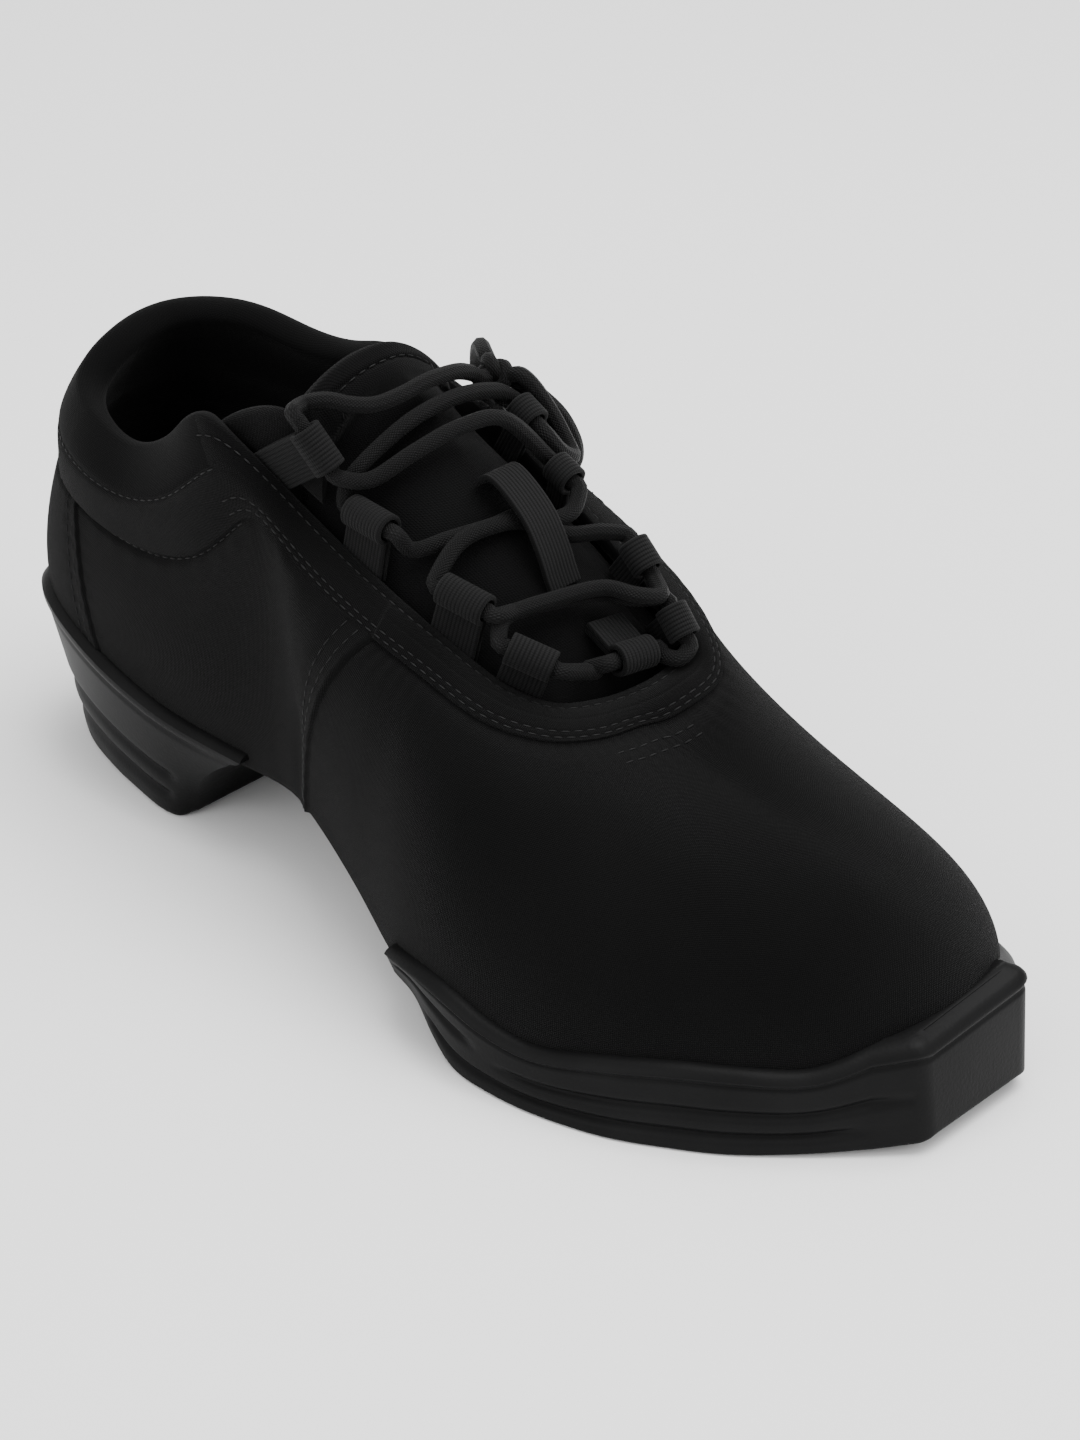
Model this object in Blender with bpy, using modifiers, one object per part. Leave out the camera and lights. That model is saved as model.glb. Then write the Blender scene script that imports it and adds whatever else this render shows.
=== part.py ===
"""A black canvas dance sneaker for the right foot, built piece by piece.

The shoe stands on its split rubber sole: a flared heel unit and a forefoot pad with a square toe
block. The fabric arch between them is free. Length runs along X with the toe at +X, the inner
(medial) side is at +Y, and Z is up. Everything is worked out in millimetres from the heel back and
is moved to the middle of the footprint and scaled to metres when a mesh is made.
"""
import bpy
import bmesh
import numpy as np
from mathutils import Matrix, Vector

MM = 0.001
ORIGIN = np.array((130.4, -3.9, 0.0))   # middle of the footprint, from the heel back, mm

# Fabric and rubber, mm
WALL = 2.0              # canvas, foam and lining of the upper
EYESTAY_STEP = 0.8      # how much the eyestay and collar band stand proud
QUARTER_STEP = 0.8      # overlap of the quarter on the vamp at the waist seam
COUNTER_STEP = 0.7      # heel counter over the quarter
LASTING_MARGIN = 10.0   # fabric turned in under the foot
MARGIN_DROP = 5.0       # how far its edge lies below the foot of the wall
MARGIN_TURN = 4.0       # roundness of the turn
GAP = 0.35              # between two pieces that touch
RIM_THICKNESS = 2.0     # rubber that laps up on the upper
INSOLE_RINGS = ((-0.9, 1.1), (-0.5, 0.8), (-0.15, 1.2), (-0.2, 3.2))    # level and clearance of its edge
TONGUE_THICKNESS = 3.5
LACE_RADIUS = 1.7
WEBBING = 1.1           # thickness of one ply of the lace loops
KEEPER_WIDTH = 9.0

# The wall: its padding grows from one level over a few tenths, and a padded edge thins to its top
PAD_START = 0.97
PAD_REACH = 0.4
PADDED = 3.2            # a topline thicker than this is padded
EDGE_START = 1.7
EDGE_REACH = 0.3
EDGE_THINNING = 0.25
STEP_AHEAD = 0.02       # in ribs or levels, for the directions of the last's surface

# The shape of the last, one row for each rib of the upper: where the rib starts at the foot of the
# wall, where it meets the eyestay or collar band, and where it ends at the topline, then how far
# the wall rises and leans out at its foot, how far it arches at the band, how much the crown of
# the toe adds there, how much the padding puffs out, and the thickness at the topline.
LATERAL_RIBS = (
    # name            foot x, y, z      band x, y, z        top x, y, z        rise lean reach crown puff pad
    ("heel back",      5, 0, 37,        7, 0, 73,           13, 1, 96,         13, 3, 10, 0, 2.0, 7.0),
    ("heel corner",    11, -19, 36,     13, -17, 71,        18, -14, 91,       13, 3, 10, 0, 2.0, 7.0),
    ("heel side",      32, -29, 33,     31, -26, 68,        32, -22, 88,       13, 3, 10, 0, 3.0, 6.5),
    ("collar dip",     54, -31, 29,     52, -29, 67,        47, -24, 87,       13, 3, 12, 0, 3.0, 6.0),
    ("collar front",   78, -30, 26,     73, -29, 73,        62, -25, 95,       14, 3, 14, 0, 3.0, 5.0),
    ("eyestay top",    98, -30, 26,     88, -27, 86,        77, -27, 104,      16, 4, 16, 0, 1.0, 3.0),
    ("waist",          113, -33, 22,    102, -28, 81,       97, -22, 90,       18, 4, 18, 0, 0.6, 2.8),
    ("throat middle",  129, -38, 16,    121, -29.5, 74,     119, -21.5, 80,    18, 4, 18, 0, 0.6, 2.8),
    ("rear ball",      148, -46, 12,    139, -29.5, 69,     136, -20, 72.5,    18, 4, 18, 0, 0.6, 2.8),
    ("ball",           172, -51, 10,    154, -27.5, 63.5,   148.5, -17, 66,    17, 4, 22, 0, 0.6, 2.8),
    ("toe joint",      200, -46, 11,    164, -21, 60,       154.5, -14, 63.2,  18, 4, 28, 2, 0.6, 2.8),
    ("toe curve",      225, -33, 13,    169.5, -15.5, 59.4, 159.5, -11, 62,    20, 5, 34, 4, 0.6, 2.8),
    ("toe corner",     243, -17, 16,    173, -9, 59.3,      163.3, -6, 61.8,   22, 4, 39, 6, 0.6, 2.8),
    ("toe tip",        251, 4, 18,      175, -2, 59.6,      166, 0, 62,        22, 6, 40, 7, 0.6, 2.8),
)
MEDIAL_RIBS = (
    ("heel corner",    11, 19, 36,      12, 18, 74,         15, 17, 98,        13, 3, 10, 0, 2.5, 7.0),
    ("heel side",      32, 29, 33,      30, 28, 73,         30, 26, 99,        13, 3, 10, 0, 3.0, 6.5),
    ("collar dip",     54, 30, 30,      51, 31, 73,         47, 28.5, 97.3,    13, 3, 12, 0, 3.0, 6.0),
    ("collar front",   79, 30, 27,      70, 31, 80,         63, 28, 99,        14, 3, 12, 0, 3.0, 5.0),
    ("eyestay top",    98, 30, 26,      89, 31, 93,         79, 26, 103,       16, 4, 10, 0, 1.0, 3.0),
    ("waist",          117, 32, 22,     106, 32, 91,        101, 25, 98,       18, 4, 8, 0, 0.6, 2.8),
    ("throat middle",  135, 36, 17,     127, 32, 84,        122, 24, 90,       18, 4, 8, 0, 0.6, 2.8),
    ("rear ball",      158, 41, 13,     147, 31, 77,        141, 23, 81.5,     15, 4, 4, 1, 0.6, 2.8),
    ("ball",           183, 43, 11,     164, 28, 70,        158, 21, 73.5,     19, 4, 2, -2, 0.6, 2.8),
    ("toe joint",      210, 41, 12,     178, 19, 65,        168, 19, 66.5,     21, 7, 8, 2, 0.6, 2.8),
    ("toe curve",      234, 35, 14,     180, 10, 62.6,      169.2, 13, 64.5,   28, 9, 28, 3, 0.6, 2.8),
    ("toe corner",     248, 22, 16,     178, 3, 60.5,       168.6, 7, 63.4,    26, 9, 37, 7, 0.6, 2.8),
)
RIBS = np.array([row[1:] for row in LATERAL_RIBS + MEDIAL_RIBS[::-1]], float)
RIB_COUNT = len(RIBS)
TOE_TIP = len(LATERAL_RIBS) - 1

# Seams that lean across the ribs: rib number at the middle of the wall, at its foot and at the band
WAIST_SEAM = (6.5, 5.6, 7.3)
COUNTER_SEAM = (2.15, 2.45, 1.85)
SEAM_REACH = 1.6        # ribs over which the others lean along with a seam
SEAM_HALF = 0.04        # half width of a seam's step, in ribs
SEAM_FADE = 1.5         # ribs over which the overlap of a seam dies out

# Levels of the wall: -1 is the edge of the lasting margin, 0 the foot, 1 the band and 2 the topline
WALL_LEVELS = (-1.0, -0.5, 0.0, 0.12, 0.26, 0.42, 0.58, 0.74, 0.88, 0.97, 1.03, 1.35, 1.7, 2.0)
FORM_LEVELS = (-1.0, -0.5, 0.0, 0.12, 0.26, 0.42, 0.58, 0.74)
ARCH_RIBS = (10 / 3, 26 / 3)    # between these ribs the fabric closes the underside

# The soles, one row for each cross-section, outer side then inner side: the ground edge, and the
# rim by its rib number and height; then how far the side wall bows in and the end wall hollows back.
FOREFOOT_ROWS = (
    # name          ground x, y, z     rib, z          ground x, y, z     rib, z          bow, hollow
    ("back tip",    150, -48.4, 11.0,  8.10, 16.5,     157, 43.0, 11.0,   18.00, 16.5,    0.0, 0.0),
    ("back bevel",  155, -47.8, 7.0,   8.45, 17.9,     164, 43.8, 7.0,    17.75, 17.5,    0.3, 0.0),
    ("heel of pad", 163, -50.8, 2.5,   8.75, 18.2,     172, 45.8, 2.5,    17.45, 17.0,    0.3, 0.0),
    ("flat back",   171, -53.4, 0.0,   9.00, 17.0,     180, 46.8, 0.0,    17.15, 16.0,    0.3, 0.0),
    ("ball",        180, -54.5, 0.0,   9.30, 14.2,     190, 46.8, 0.0,    16.75, 14.6,    0.2, 0.0),
    ("ball front",  193, -53.5, 0.0,   9.66, 12.4,     202, 45.8, 0.0,    16.30, 14.0,    0.2, 0.0),
    ("joint",       208, -49.5, 0.0,   10.15, 14.6,    214, 43.6, 0.0,    15.85, 15.0,    0.2, 0.0),
    ("toe curve",   220, -43.3, 0.0,   10.65, 16.4,    226, 40.4, 0.0,    15.40, 16.0,    0.2, 0.0),
    ("toe side",    230, -36.8, 0.0,   11.10, 16.7,    238, 36.0, 0.0,    14.95, 17.5,    0.2, 0.0),
    ("toe corner",  241, -27.2, 0.6,   11.65, 16.8,    248, 30.0, 0.6,    14.50, 20.0,    0.2, 0.0),
    ("toe bend",    250.5, -18, 1.6,   12.15, 20.5,    254.5, 24, 1.6,    14.00, 24.0,    0.2, 0.0),
)
TOE_FACE = ((258, -10, 2.8), (254.8, -9.5, 23.0), (258.4, 22.0, 2.8), (256.8, 22.0, 27.0))
HEEL_ROWS = (
    ("back",        8.5, -6, 0.0,      0.30, 39.5,     8.5, 6, 0.0,       25.70, 39.5,    0.0, 0.0),
    ("back corner", 11, -13.5, 0.0,    0.75, 40.3,     11, 13.5, 0.0,     25.25, 40.3,    0.2, 0.0),
    ("rear side",   20, -19.8, 0.0,    1.30, 40.8,     20, 19.8, 0.0,     24.70, 40.8,    0.2, 0.0),
    ("side",        33, -24.4, 0.0,    1.95, 38.3,     33, 24.4, 0.0,     24.05, 38.5,    0.2, 0.0),
    ("mid side",    45, -27.2, 0.0,    2.65, 33.9,     45, 27.2, 0.0,     23.35, 34.3,    0.2, 0.0),
    ("front side",  54, -28.8, 0.0,    3.30, 29.8,     54, 28.8, 0.0,     22.70, 31.0,    0.2, 0.0),
    ("breast side", 59.5, -28, 0.0,    3.85, 28.2,     59.5, 28, 0.0,     22.15, 29.3,    0.4, 2.5),
    ("breast",      62, -24, 0.8,      4.40, 27.6,     62, 24, 0.8,       21.60, 28.6,    0.4, 5.0),
)
# Grooves in the side walls: share of the height, half width and depth, and the rows they run along
FOREFOOT_GROOVES = ((0.24, 0.055, 1.0, 2, 9), (0.52, 0.055, 0.8, 5, 10))
HEEL_GROOVES = ((0.22, 0.035, 0.9, 0, 5), (0.42, 0.035, 0.9, 0, 5))

# Tongue: rows from the toe end up to the collar follow the throat, the last rows stand free. The
# clearance is between the eyestay's lining and the tongue.
TONGUE_THROAT = (
    # name         rib   level of edge   crest x, z       clearance
    ("toe end",    11.6, 0.93,           176, 52.4,       0.5),
    ("throat end", 11.2, 1.3,            168, 56.4,       0.8),
    ("low",        10.0, 1.5,            160, 63.6,       2.2),
    ("ball",       9.0,  1.6,            155, 69.8,       2.4),
    ("rear ball",  8.0,  1.6,            141, 82.3,       1.7),
    ("middle",     7.0,  1.6,            124, 95.6,       1.7),
    ("waist",      6.1,  1.9,            107, 108.8,      3.0),
)
TONGUE_FREE = (
    # name         outer x, y, z         crest x, y, z       inner x, y, z
    ("collar",     98.0, -16.2, 99.0,    101.5, 3.5, 113.2,  101, 19.5, 102.0),
    ("shoulder",   95.0, -18.0, 105.5,   98.5, 3.0, 115.6,   98.5, 20.5, 104.5),
    ("tip",        93.0, -16.5, 110.5,   96.0, 2.0, 118.2,   97.0, 18.5, 108.0),
)
TONGUE_CREST_Y = 4.0
TONGUE_EDGE_RISE = 0.38     # in levels, from where the tongue tucks under the eyestay to its edge
TONGUE_EDGE_TOP = 1.98
TONGUE_TUCK = (0.0, 0.8, 1.2)   # of the free edges, out and down
TONGUE_FALL = 0.02      # how fast the tongue falls away beside its crest, per mm

# Webbing loops that hold the lace: rib of the throat edge, its clearance there, the middle of the
# lace inside the loop, and the width of the webbing
LACE_LOOPS = {
    # name                rib    clear  lace x, y, z          width
    "lace_loop_outer_1": (5.70,  1.0,   103.0, -21.5, 104.4,  10.0),
    "lace_loop_outer_2": (6.75,  1.0,   115.0, -18.5, 91.3,   11.0),
    "lace_loop_outer_3": (8.15,  0.6,   140.0, -16.8, 81.6,   11.0),
    "lace_loop_outer_4": (9.60,  1.1,   155.3, -13.6, 72.8,   10.0),
    "lace_loop_inner_4": (16.50, 1.9,   167.5, 17.0, 73.2,    7.0),
    "lace_loop_inner_3": (17.45, 0.6,   155.2, 19.2, 83.0,    7.0),
    "lace_loop_inner_2": (18.60, 0.6,   132.5, 20.4, 93.8,    6.0),
    "lace_loop_inner_1": (19.35, 0.6,   119.3, 23.2, 102.2,   6.0),
}
TOE_LOOP_START = (155.8, 7.6, 72.3)     # the loop at the toe end is sewn to the tongue
TOE_LOOP_LACE = (165.4, 5.8, 69.2)
TOE_LOOP_WIDTH = 9.0
LOOP_RADIUS = 2.9       # of the middle of the webbing round the lace
LOOP_RISE = 0.4         # how far a loop's seat lies above the middle of the throat edge
LOOP_STEPS = 10         # facets round the lace
THROAT_WALL = 2.8       # wall of the upper at the throat edge

# The lace, as the loops that it runs through and the points between them; "-" is a loop that it
# runs through from its toe end to its heel end
LACE_OUTER_HALF = (
    "lace_loop_outer_1", (111, -14.5, 97.6), (116, -6.5, 102.8), (119.8, 3, 106.4), (123.5, 12, 106.2),
    "lace_loop_inner_2", (139.0, 15.4, 88.8), (137.0, 8.0, 88.8), (134.2, 0, 90.4), (131.6, -9.5, 88.8),
    "lace_loop_outer_3", (147.4, -8.5, 78.6), (150.4, 0.9, 78.4), (153.4, 9.5, 77.6), (158.4, 13.2, 76.8),
    "lace_loop_inner_4", (171.4, 13.4, 67.8), (168.4, 12.0, 67.8), "toe", (160.5, -2.5, 67.6))
LACE_INNER_HALF = (
    (162.0, -1.5, 67.2), "-lace_loop_outer_4", (147.0, -12.0, 78.4), (150.6, -1, 79.6), (155.4, 7.6, 80.4),
    (161.4, 10.8, 79.8), (164.0, 15.4, 78.8), "-lace_loop_inner_3", (147.0, 16.6, 86.8), (140.6, 11.4, 86.0),
    (134.8, 5.8, 90.2), (133.0, -1.5, 90.0), (128.8, -9.5, 88.6), (124.0, -15.2, 86.4), "-lace_loop_outer_2",
    (107.0, -17.0, 96.5), (108.6, -11.5, 101.6), (111.6, -2.5, 107.4), (113.0, 9, 109.0), (114.2, 18.6, 107.4),
    "lace_loop_inner_1")
LACE_SIDES = 8
LACE_STEP = 4.0         # distance between points along the lace
LACE_LEAD = 2.0         # straight lace past each side of a loop

# The bow beside the tongue: free stretches of the same lace, which start at a loop or at the knot
KNOT_CENTRE = (108.0, 25.0, 107.0)
KNOT_RADII = (5.0, 4.0, 4.2)
BOW_ROUTES = {
    "bow_strand_outer": ("-lace_loop_outer_1", (96.6, -19.0, 111.6), (99.6, -15.4, 112.2), (103.2, -12.0, 111.2),
                         (106.2, -8.0, 110.8), (108.2, -2.5, 111.8), (109.2, 4.5, 113.0), (109.4, 12.0, 112.4),
                         (108.8, 17.2, 110.2), (108.4, 20.4, 107.9)),
    "bow_strand_inner": ("lace_loop_inner_1", (127.2, 25.0, 95.6), (126.6, 29.4, 92.6), (123.2, 31.4, 93.8),
                         (119.8, 30.6, 99.4), (116.7, 28.4, 105.4), (114.2, 26.8, 108.2)),
    "bow_loop_rear":    ((103.4, 27.0, 109.7), (99.0, 30.2, 109.2), (94.4, 34.0, 104.4), (91.6, 37.0, 97.4),
                         (92.6, 38.4, 91.6), (96.2, 38.6, 90.4), (99.0, 37.4, 94.6), (100.8, 33.8, 99.8),
                         (102.4, 28.4, 104.9)),
    "bow_loop_front":   ((112.4, 28.6, 105.4), (114.8, 31.6, 102.4), (117.6, 35.4, 97.0), (119.0, 38.2, 90.0),
                         (117.6, 39.6, 84.4), (114.6, 39.8, 83.2), (113.0, 38.6, 87.6), (112.2, 35.6, 94.0),
                         (112.4, 32.2, 99.0), (112.2, 30.2, 101.8)),
    "bow_end_rear":     ((105.4, 26.8, 102.4), (104.8, 30.4, 99.2), (103.8, 34.6, 95.0), (102.6, 38.0, 88.0),
                         (102.2, 39.4, 79.0), (101.8, 39.8, 70.0)),
    "bow_end_front":    ((109.0, 26.0, 101.9), (108.5, 30.0, 98.6), (107.9, 34.4, 93.4), (107.4, 38.2, 86.4),
                         (107.6, 39.8, 77.6), (108.0, 40.2, 68.0)),
}

# The keeper strap on the tongue, from its upper end to its toe end, and how high it arches
KEEPER_ROUTE = (
    # x, height over the tongue
    (125.4, 1.1), (127.2, 4.6), (129.8, 7.4), (134.5, 8.6), (139.6, 8.2), (143.2, 5.6), (145.4, 2.6), (146.8, 1.1))
KEEPER_Y = 5.5


def closed_slopes(rows):
    """Slopes of the smooth closed curve that runs through every row."""
    count = len(rows)
    unit = np.eye(count)
    matrix = 4 * unit + np.roll(unit, 1, axis=1) + np.roll(unit, -1, axis=1)
    return np.linalg.solve(matrix, 3 * (np.roll(rows, -1, axis=0) - np.roll(rows, 1, axis=0)))


RIB_SLOPES = closed_slopes(RIBS)


def rib_values(rib):
    """All columns of the rib table at a rib number, which may lie between two rows."""
    first = int(np.floor(rib)) % RIB_COUNT
    after = (first + 1) % RIB_COUNT
    u = rib - np.floor(rib)
    return ((2 * u**3 - 3 * u**2 + 1) * RIBS[first] + (u**3 - 2 * u**2 + u) * RIB_SLOPES[first]
            + (3 * u**2 - 2 * u**3) * RIBS[after] + (u**3 - u**2) * RIB_SLOPES[after])


def unit_vector(vector):
    return vector / np.linalg.norm(vector)


def last_point(rib, level):
    """A point on the outside of the last: rib number round the shoe, level up the wall."""
    row = rib_values(rib)
    ahead = rib_values(rib + STEP_AHEAD)
    foot, band, top = row[0:3], row[3:6], row[6:9]
    rise, lean, reach, crown, puff = row[9:14]
    along = unit_vector((ahead[0:3] - foot) * (1, 1, 0))
    outward = np.array((along[1], -along[0], 0.0))
    up = np.array((0.0, 0.0, 1.0))
    if level < 0:
        u = -level
        turn = foot - MARGIN_TURN * unit_vector(outward * lean + up * rise)
        end = foot - outward * LASTING_MARGIN - up * MARGIN_DROP
        return (1 - u)**2 * foot + 2 * (1 - u) * u * turn + u**2 * end
    if level <= 1:
        low = foot + outward * lean + up * rise
        high = band + unit_vector(band - top) * reach + up * crown
        u = level
        return (1 - u)**3 * foot + 3 * (1 - u)**2 * u * low + 3 * (1 - u) * u**2 * high + u**3 * band
    u = level - 1
    swell = unit_vector(np.cross(ahead[3:6] - band, top - band)) * puff
    return band + (top - band) * u + swell * 4 * u * (1 - u)


def last_normal(rib, level):
    """The outward direction of the last's surface at a rib and level."""
    across = last_point(rib + STEP_AHEAD, level) - last_point(rib - STEP_AHEAD, level)
    low, high = max(level - STEP_AHEAD, -1.0), min(level + STEP_AHEAD, 2.0)
    if low < 1.0 < high:
        low, high = (1.0, high) if level > 1 else (low, 1.0)
    return unit_vector(np.cross(across, last_point(rib, high) - last_point(rib, low)))


def seam_rib(seam, level):
    """Rib number of a leaning seam at a level."""
    u = min(max(level, 0.0), 1.0)
    return seam[1] + (seam[2] - seam[1]) * u


def lean_with_seams(rib, level):
    """Shift a rib number near a seam, so that a column of the grid runs along the seam."""
    side = 1 if rib <= TOE_TIP else -1
    near = rib if side == 1 else RIB_COUNT - rib
    shift = 0.0
    for seam in (WAIST_SEAM, COUNTER_SEAM):
        weight = max(0.0, 1 - abs(near - seam[0]) / SEAM_REACH)
        shift += weight * (seam_rib(seam, level) - seam[0])
    return rib + side * shift


def overlay_height(column, level):
    """How far the outside stands proud of the last: band, quarter and heel counter."""
    near = column if column <= TOE_TIP else RIB_COUNT - column
    height = EYESTAY_STEP if level > 1 else 0.0
    if 0 <= level <= 1:
        if near < WAIST_SEAM[0]:
            height += QUARTER_STEP * max(0.0, 1 - (WAIST_SEAM[0] - near) / SEAM_FADE)
        if near < COUNTER_SEAM[0]:
            height += COUNTER_STEP
    return height


def upper_point(column, level, lift=0.0):
    """A point on the outside of the upper, lifted off it by a distance."""
    rib = lean_with_seams(column, level)
    return last_point(rib, level) + last_normal(rib, level) * (overlay_height(column, level) + lift)


def upper_columns():
    """Rib numbers of the grid round the shoe, with a close pair of columns at each seam."""
    half = [index / 3 for index in range(3 * TOE_TIP + 1)]
    for seam in (WAIST_SEAM, COUNTER_SEAM):
        nearest = min(half, key=lambda column: abs(column - seam[0]))
        half.remove(nearest)
        half += [seam[0] - SEAM_HALF, seam[0] + SEAM_HALF]
    half.sort()
    return half + [RIB_COUNT - column for column in reversed(half[1:-1])]


def to_scene(point):
    """Millimetres from the heel back to metres from the middle of the footprint."""
    return Vector((np.asarray(point) - ORIGIN) * MM)


def make_collection(name):
    collection = bpy.data.collections.new(name)
    bpy.context.scene.collection.children.link(collection)
    return collection


def make_material(name, colour, roughness, metallic=0.0):
    material = bpy.data.materials.new(name)
    material.use_nodes = True
    shader = material.node_tree.nodes["Principled BSDF"]
    shader.inputs["Base Color"].default_value = (*colour, 1.0)
    shader.inputs["Roughness"].default_value = roughness
    shader.inputs["Metallic"].default_value = metallic
    return material


def add_mesh_object(name, points, faces, material, collection, smooth=40.0):
    """An object from points in millimetres and faces, shaded smooth up to an angle."""
    mesh = bpy.data.meshes.new(name)
    mesh.from_pydata([to_scene(point) for point in points], [], faces)
    mesh.materials.append(material)
    mesh.shade_smooth()
    mesh.set_sharp_from_angle(angle=np.radians(smooth))
    item = bpy.data.objects.new(name, mesh)
    collection.objects.link(item)
    return item


def ring_faces(count, levels):
    """Quads of a grid that closes on itself: one ring of points for each level."""
    faces = []
    for level in range(levels - 1):
        for index in range(count):
            after = (index + 1) % count
            faces.append((level * count + index, level * count + after,
                          (level + 1) * count + after, (level + 1) * count + index))
    return faces


def ladder_faces(ring, first, last, flip):
    """Rungs across a closed ring of point numbers, from each point to its mirror partner."""
    count = len(ring)
    faces = []
    for index in range(first, last):
        corners = [ring[index], ring[index + 1], ring[(count - index - 1) % count], ring[(count - index) % count]]
        face = list(dict.fromkeys(corners))
        faces.append(tuple(reversed(face)) if flip else tuple(face))
    return faces


def cut_from(item, cutter):
    """Cut a mesh out of an object, and leave the cutter as a guide that isn't rendered."""
    modifier = item.modifiers.new("cut " + cutter.name, "BOOLEAN")
    modifier.operation = "DIFFERENCE"
    modifier.solver = "EXACT"
    modifier.object = cutter
    cutter.hide_render = True
    cutter.display_type = "WIRE"


def build_upper(material, collection):
    """One hollow shell: canvas wall, padded collar, eyestay band and the closed arch."""
    columns = upper_columns()
    count = len(columns)
    points = [upper_point(column, level) for level in WALL_LEVELS for column in columns]
    faces = ring_faces(count, len(WALL_LEVELS))
    first = next(i for i, column in enumerate(columns) if column > ARCH_RIBS[0] - 0.01)
    last = next(i for i, column in enumerate(columns) if column > ARCH_RIBS[1] - 0.01)
    faces += ladder_faces(list(range(count)), first, last, flip=True)
    upper = add_mesh_object("upper", points, faces, material, collection)

    thickest = RIBS[:, 14].max()
    group = upper.vertex_groups.new(name="wall")
    for number, (level, column) in enumerate((lv, co) for lv in WALL_LEVELS for co in columns):
        pad = rib_values(lean_with_seams(column, level))[14]
        share = min(max((level - PAD_START) / PAD_REACH, 0.0), 1.0)
        edge = 1.0 - EDGE_THINNING * max(0.0, level - EDGE_START) / EDGE_REACH if pad > PADDED else 1.0
        wall = WALL + overlay_height(column, level) * (level <= 1) + (pad * edge - WALL) * share
        group.add([number], wall / thickest, "REPLACE")
    shell = upper.modifiers.new("wall", "SOLIDIFY")
    shell.thickness = thickest * MM
    shell.offset = -1.0
    shell.vertex_group = "wall"
    shell.use_even_offset = False
    return upper


def build_last_form(collection):
    """The closed outer form of the upper, a gap larger, that is cut out of the soles."""
    columns = upper_columns()
    count = len(columns)
    points = [upper_point(column, level, GAP) for level in FORM_LEVELS for column in columns]
    faces = ring_faces(count, len(FORM_LEVELS))
    low = list(range(count))
    high = list(range((len(FORM_LEVELS) - 1) * count, len(FORM_LEVELS) * count))
    faces += ladder_faces(low, 0, count // 2, flip=True)
    faces += ladder_faces(high, 0, count // 2, flip=False)
    return add_mesh_object("last form", points, faces, bpy.data.materials["canvas"], collection)


def rim_point(rib, height):
    """The outer edge of the rim at a rib, where the upper reaches a height."""
    low, high = 0.0, 0.8
    for _ in range(30):
        level = (low + high) / 2
        if last_point(rib, level)[2] < height:
            low = level
        else:
            high = level
    outward = last_normal(rib, level) * (1, 1, 0)
    point = last_point(rib, level) + unit_vector(outward) * (RIM_THICKNESS + COUNTER_STEP)
    point[2] = height
    return point


def sole_corners(rows):
    """Ground edge and rim of each row, outer side then inner side."""
    return [(np.array(row[1:4], float), rim_point(*row[4:6]), np.array(row[6:9], float), rim_point(*row[9:11]))
            for row in rows]


def wall_shares(grooves):
    """Shares of the height at which a side wall has a line of points."""
    lines = {0.0, 0.35, 0.7, 1.0}
    for middle, half, _depth, _first, _last in grooves:
        lines = {line for line in lines if line in (0.0, 1.0) or abs(line - middle) > 2 * half}
    for middle, half, _depth, _first, _last in grooves:
        lines |= {middle - half, middle, middle + half}
    return sorted(lines)


def groove_depth(share, row, grooves):
    for middle, _half, depth, first, last in grooves:
        if share == middle and first <= row <= last:
            return depth
    return 0.0


def build_sole(name, rows, end, grooves, form, material, collection):
    """A sole lofted through its rows, with grooved side walls, and cut by the form of the upper."""
    corners = sole_corners(rows) + [tuple(np.array(point, float) for point in corner) for corner in end]
    shares = wall_shares(grooves)
    points, faces = [], []
    for number, corner in enumerate(corners):
        before = corners[max(number - 1, 0)]
        after = corners[min(number + 1, len(corners) - 1)]
        bow, hollow = rows[number][11:13] if number < len(rows) else (0.0, 0.0)
        walls = []
        for part, side in ((0, 1), (2, -1)):
            low, high = corner[part], corner[part + 1]
            along = unit_vector((after[part] - before[part]) * (1, 1, 0))
            inward = np.array((-along[1], along[0], 0.0)) * side
            wall = []
            for share in shares:
                arch = 4 * share * (1 - share)
                push = inward * (bow * arch + groove_depth(share, number, grooves))
                wall.append(low + (high - low) * share + push - np.array((hollow * arch, 0.0, 0.0)))
            walls.append(wall)
        points += walls[0][::-1] + walls[1]
    width = 2 * len(shares)
    for number in range(len(corners) - 1):
        start = number * width
        for index in range(width):
            after = (index + 1) % width
            faces.append((start + index, start + after, start + width + after, start + width + index))
    last = (len(corners) - 1) * width
    for index in range(len(shares) - 1):
        ends = (index, index + 1, width - 2 - index, width - 1 - index)
        faces.append(tuple(reversed(ends)))
        faces.append(tuple(last + number for number in ends))
    sole = add_mesh_object(name, points, faces, material, collection, smooth=30.0)
    cut_from(sole, form)
    return sole


def build_insole(material, collection):
    """A sock of foam and fabric that lies on the lasting margin, from the heel to the toe."""
    columns = [index / 3 for index in range(3 * RIB_COUNT)]
    count = len(columns)
    points = [last_point(column, level) - last_normal(column, level) * (WALL + lift)
              for level, lift in INSOLE_RINGS for column in columns]
    rings = len(INSOLE_RINGS)
    faces = ring_faces(count, rings)
    faces += ladder_faces(list(range(count)), 0, count // 2, flip=True)
    faces += ladder_faces(list(range((rings - 1) * count, rings * count)), 0, count // 2, flip=False)
    return add_mesh_object("insole", points, faces, material, collection, smooth=50.0)


def tongue_section(outer, crest, inner, tucks, count=9):
    """Points across the tongue: an arch from edge to edge, with the tucked edges added."""
    arch = []
    for index in range(count):
        u = 2 * index / (count - 1) - 1
        edge = outer if u < 0 else inner
        point = crest + (edge - crest) * abs(u)
        point[2] = crest[2] + (edge[2] - crest[2]) * abs(u)**2
        arch.append(point)
    return [tucks[0]] + arch + [tucks[1]]


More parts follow.
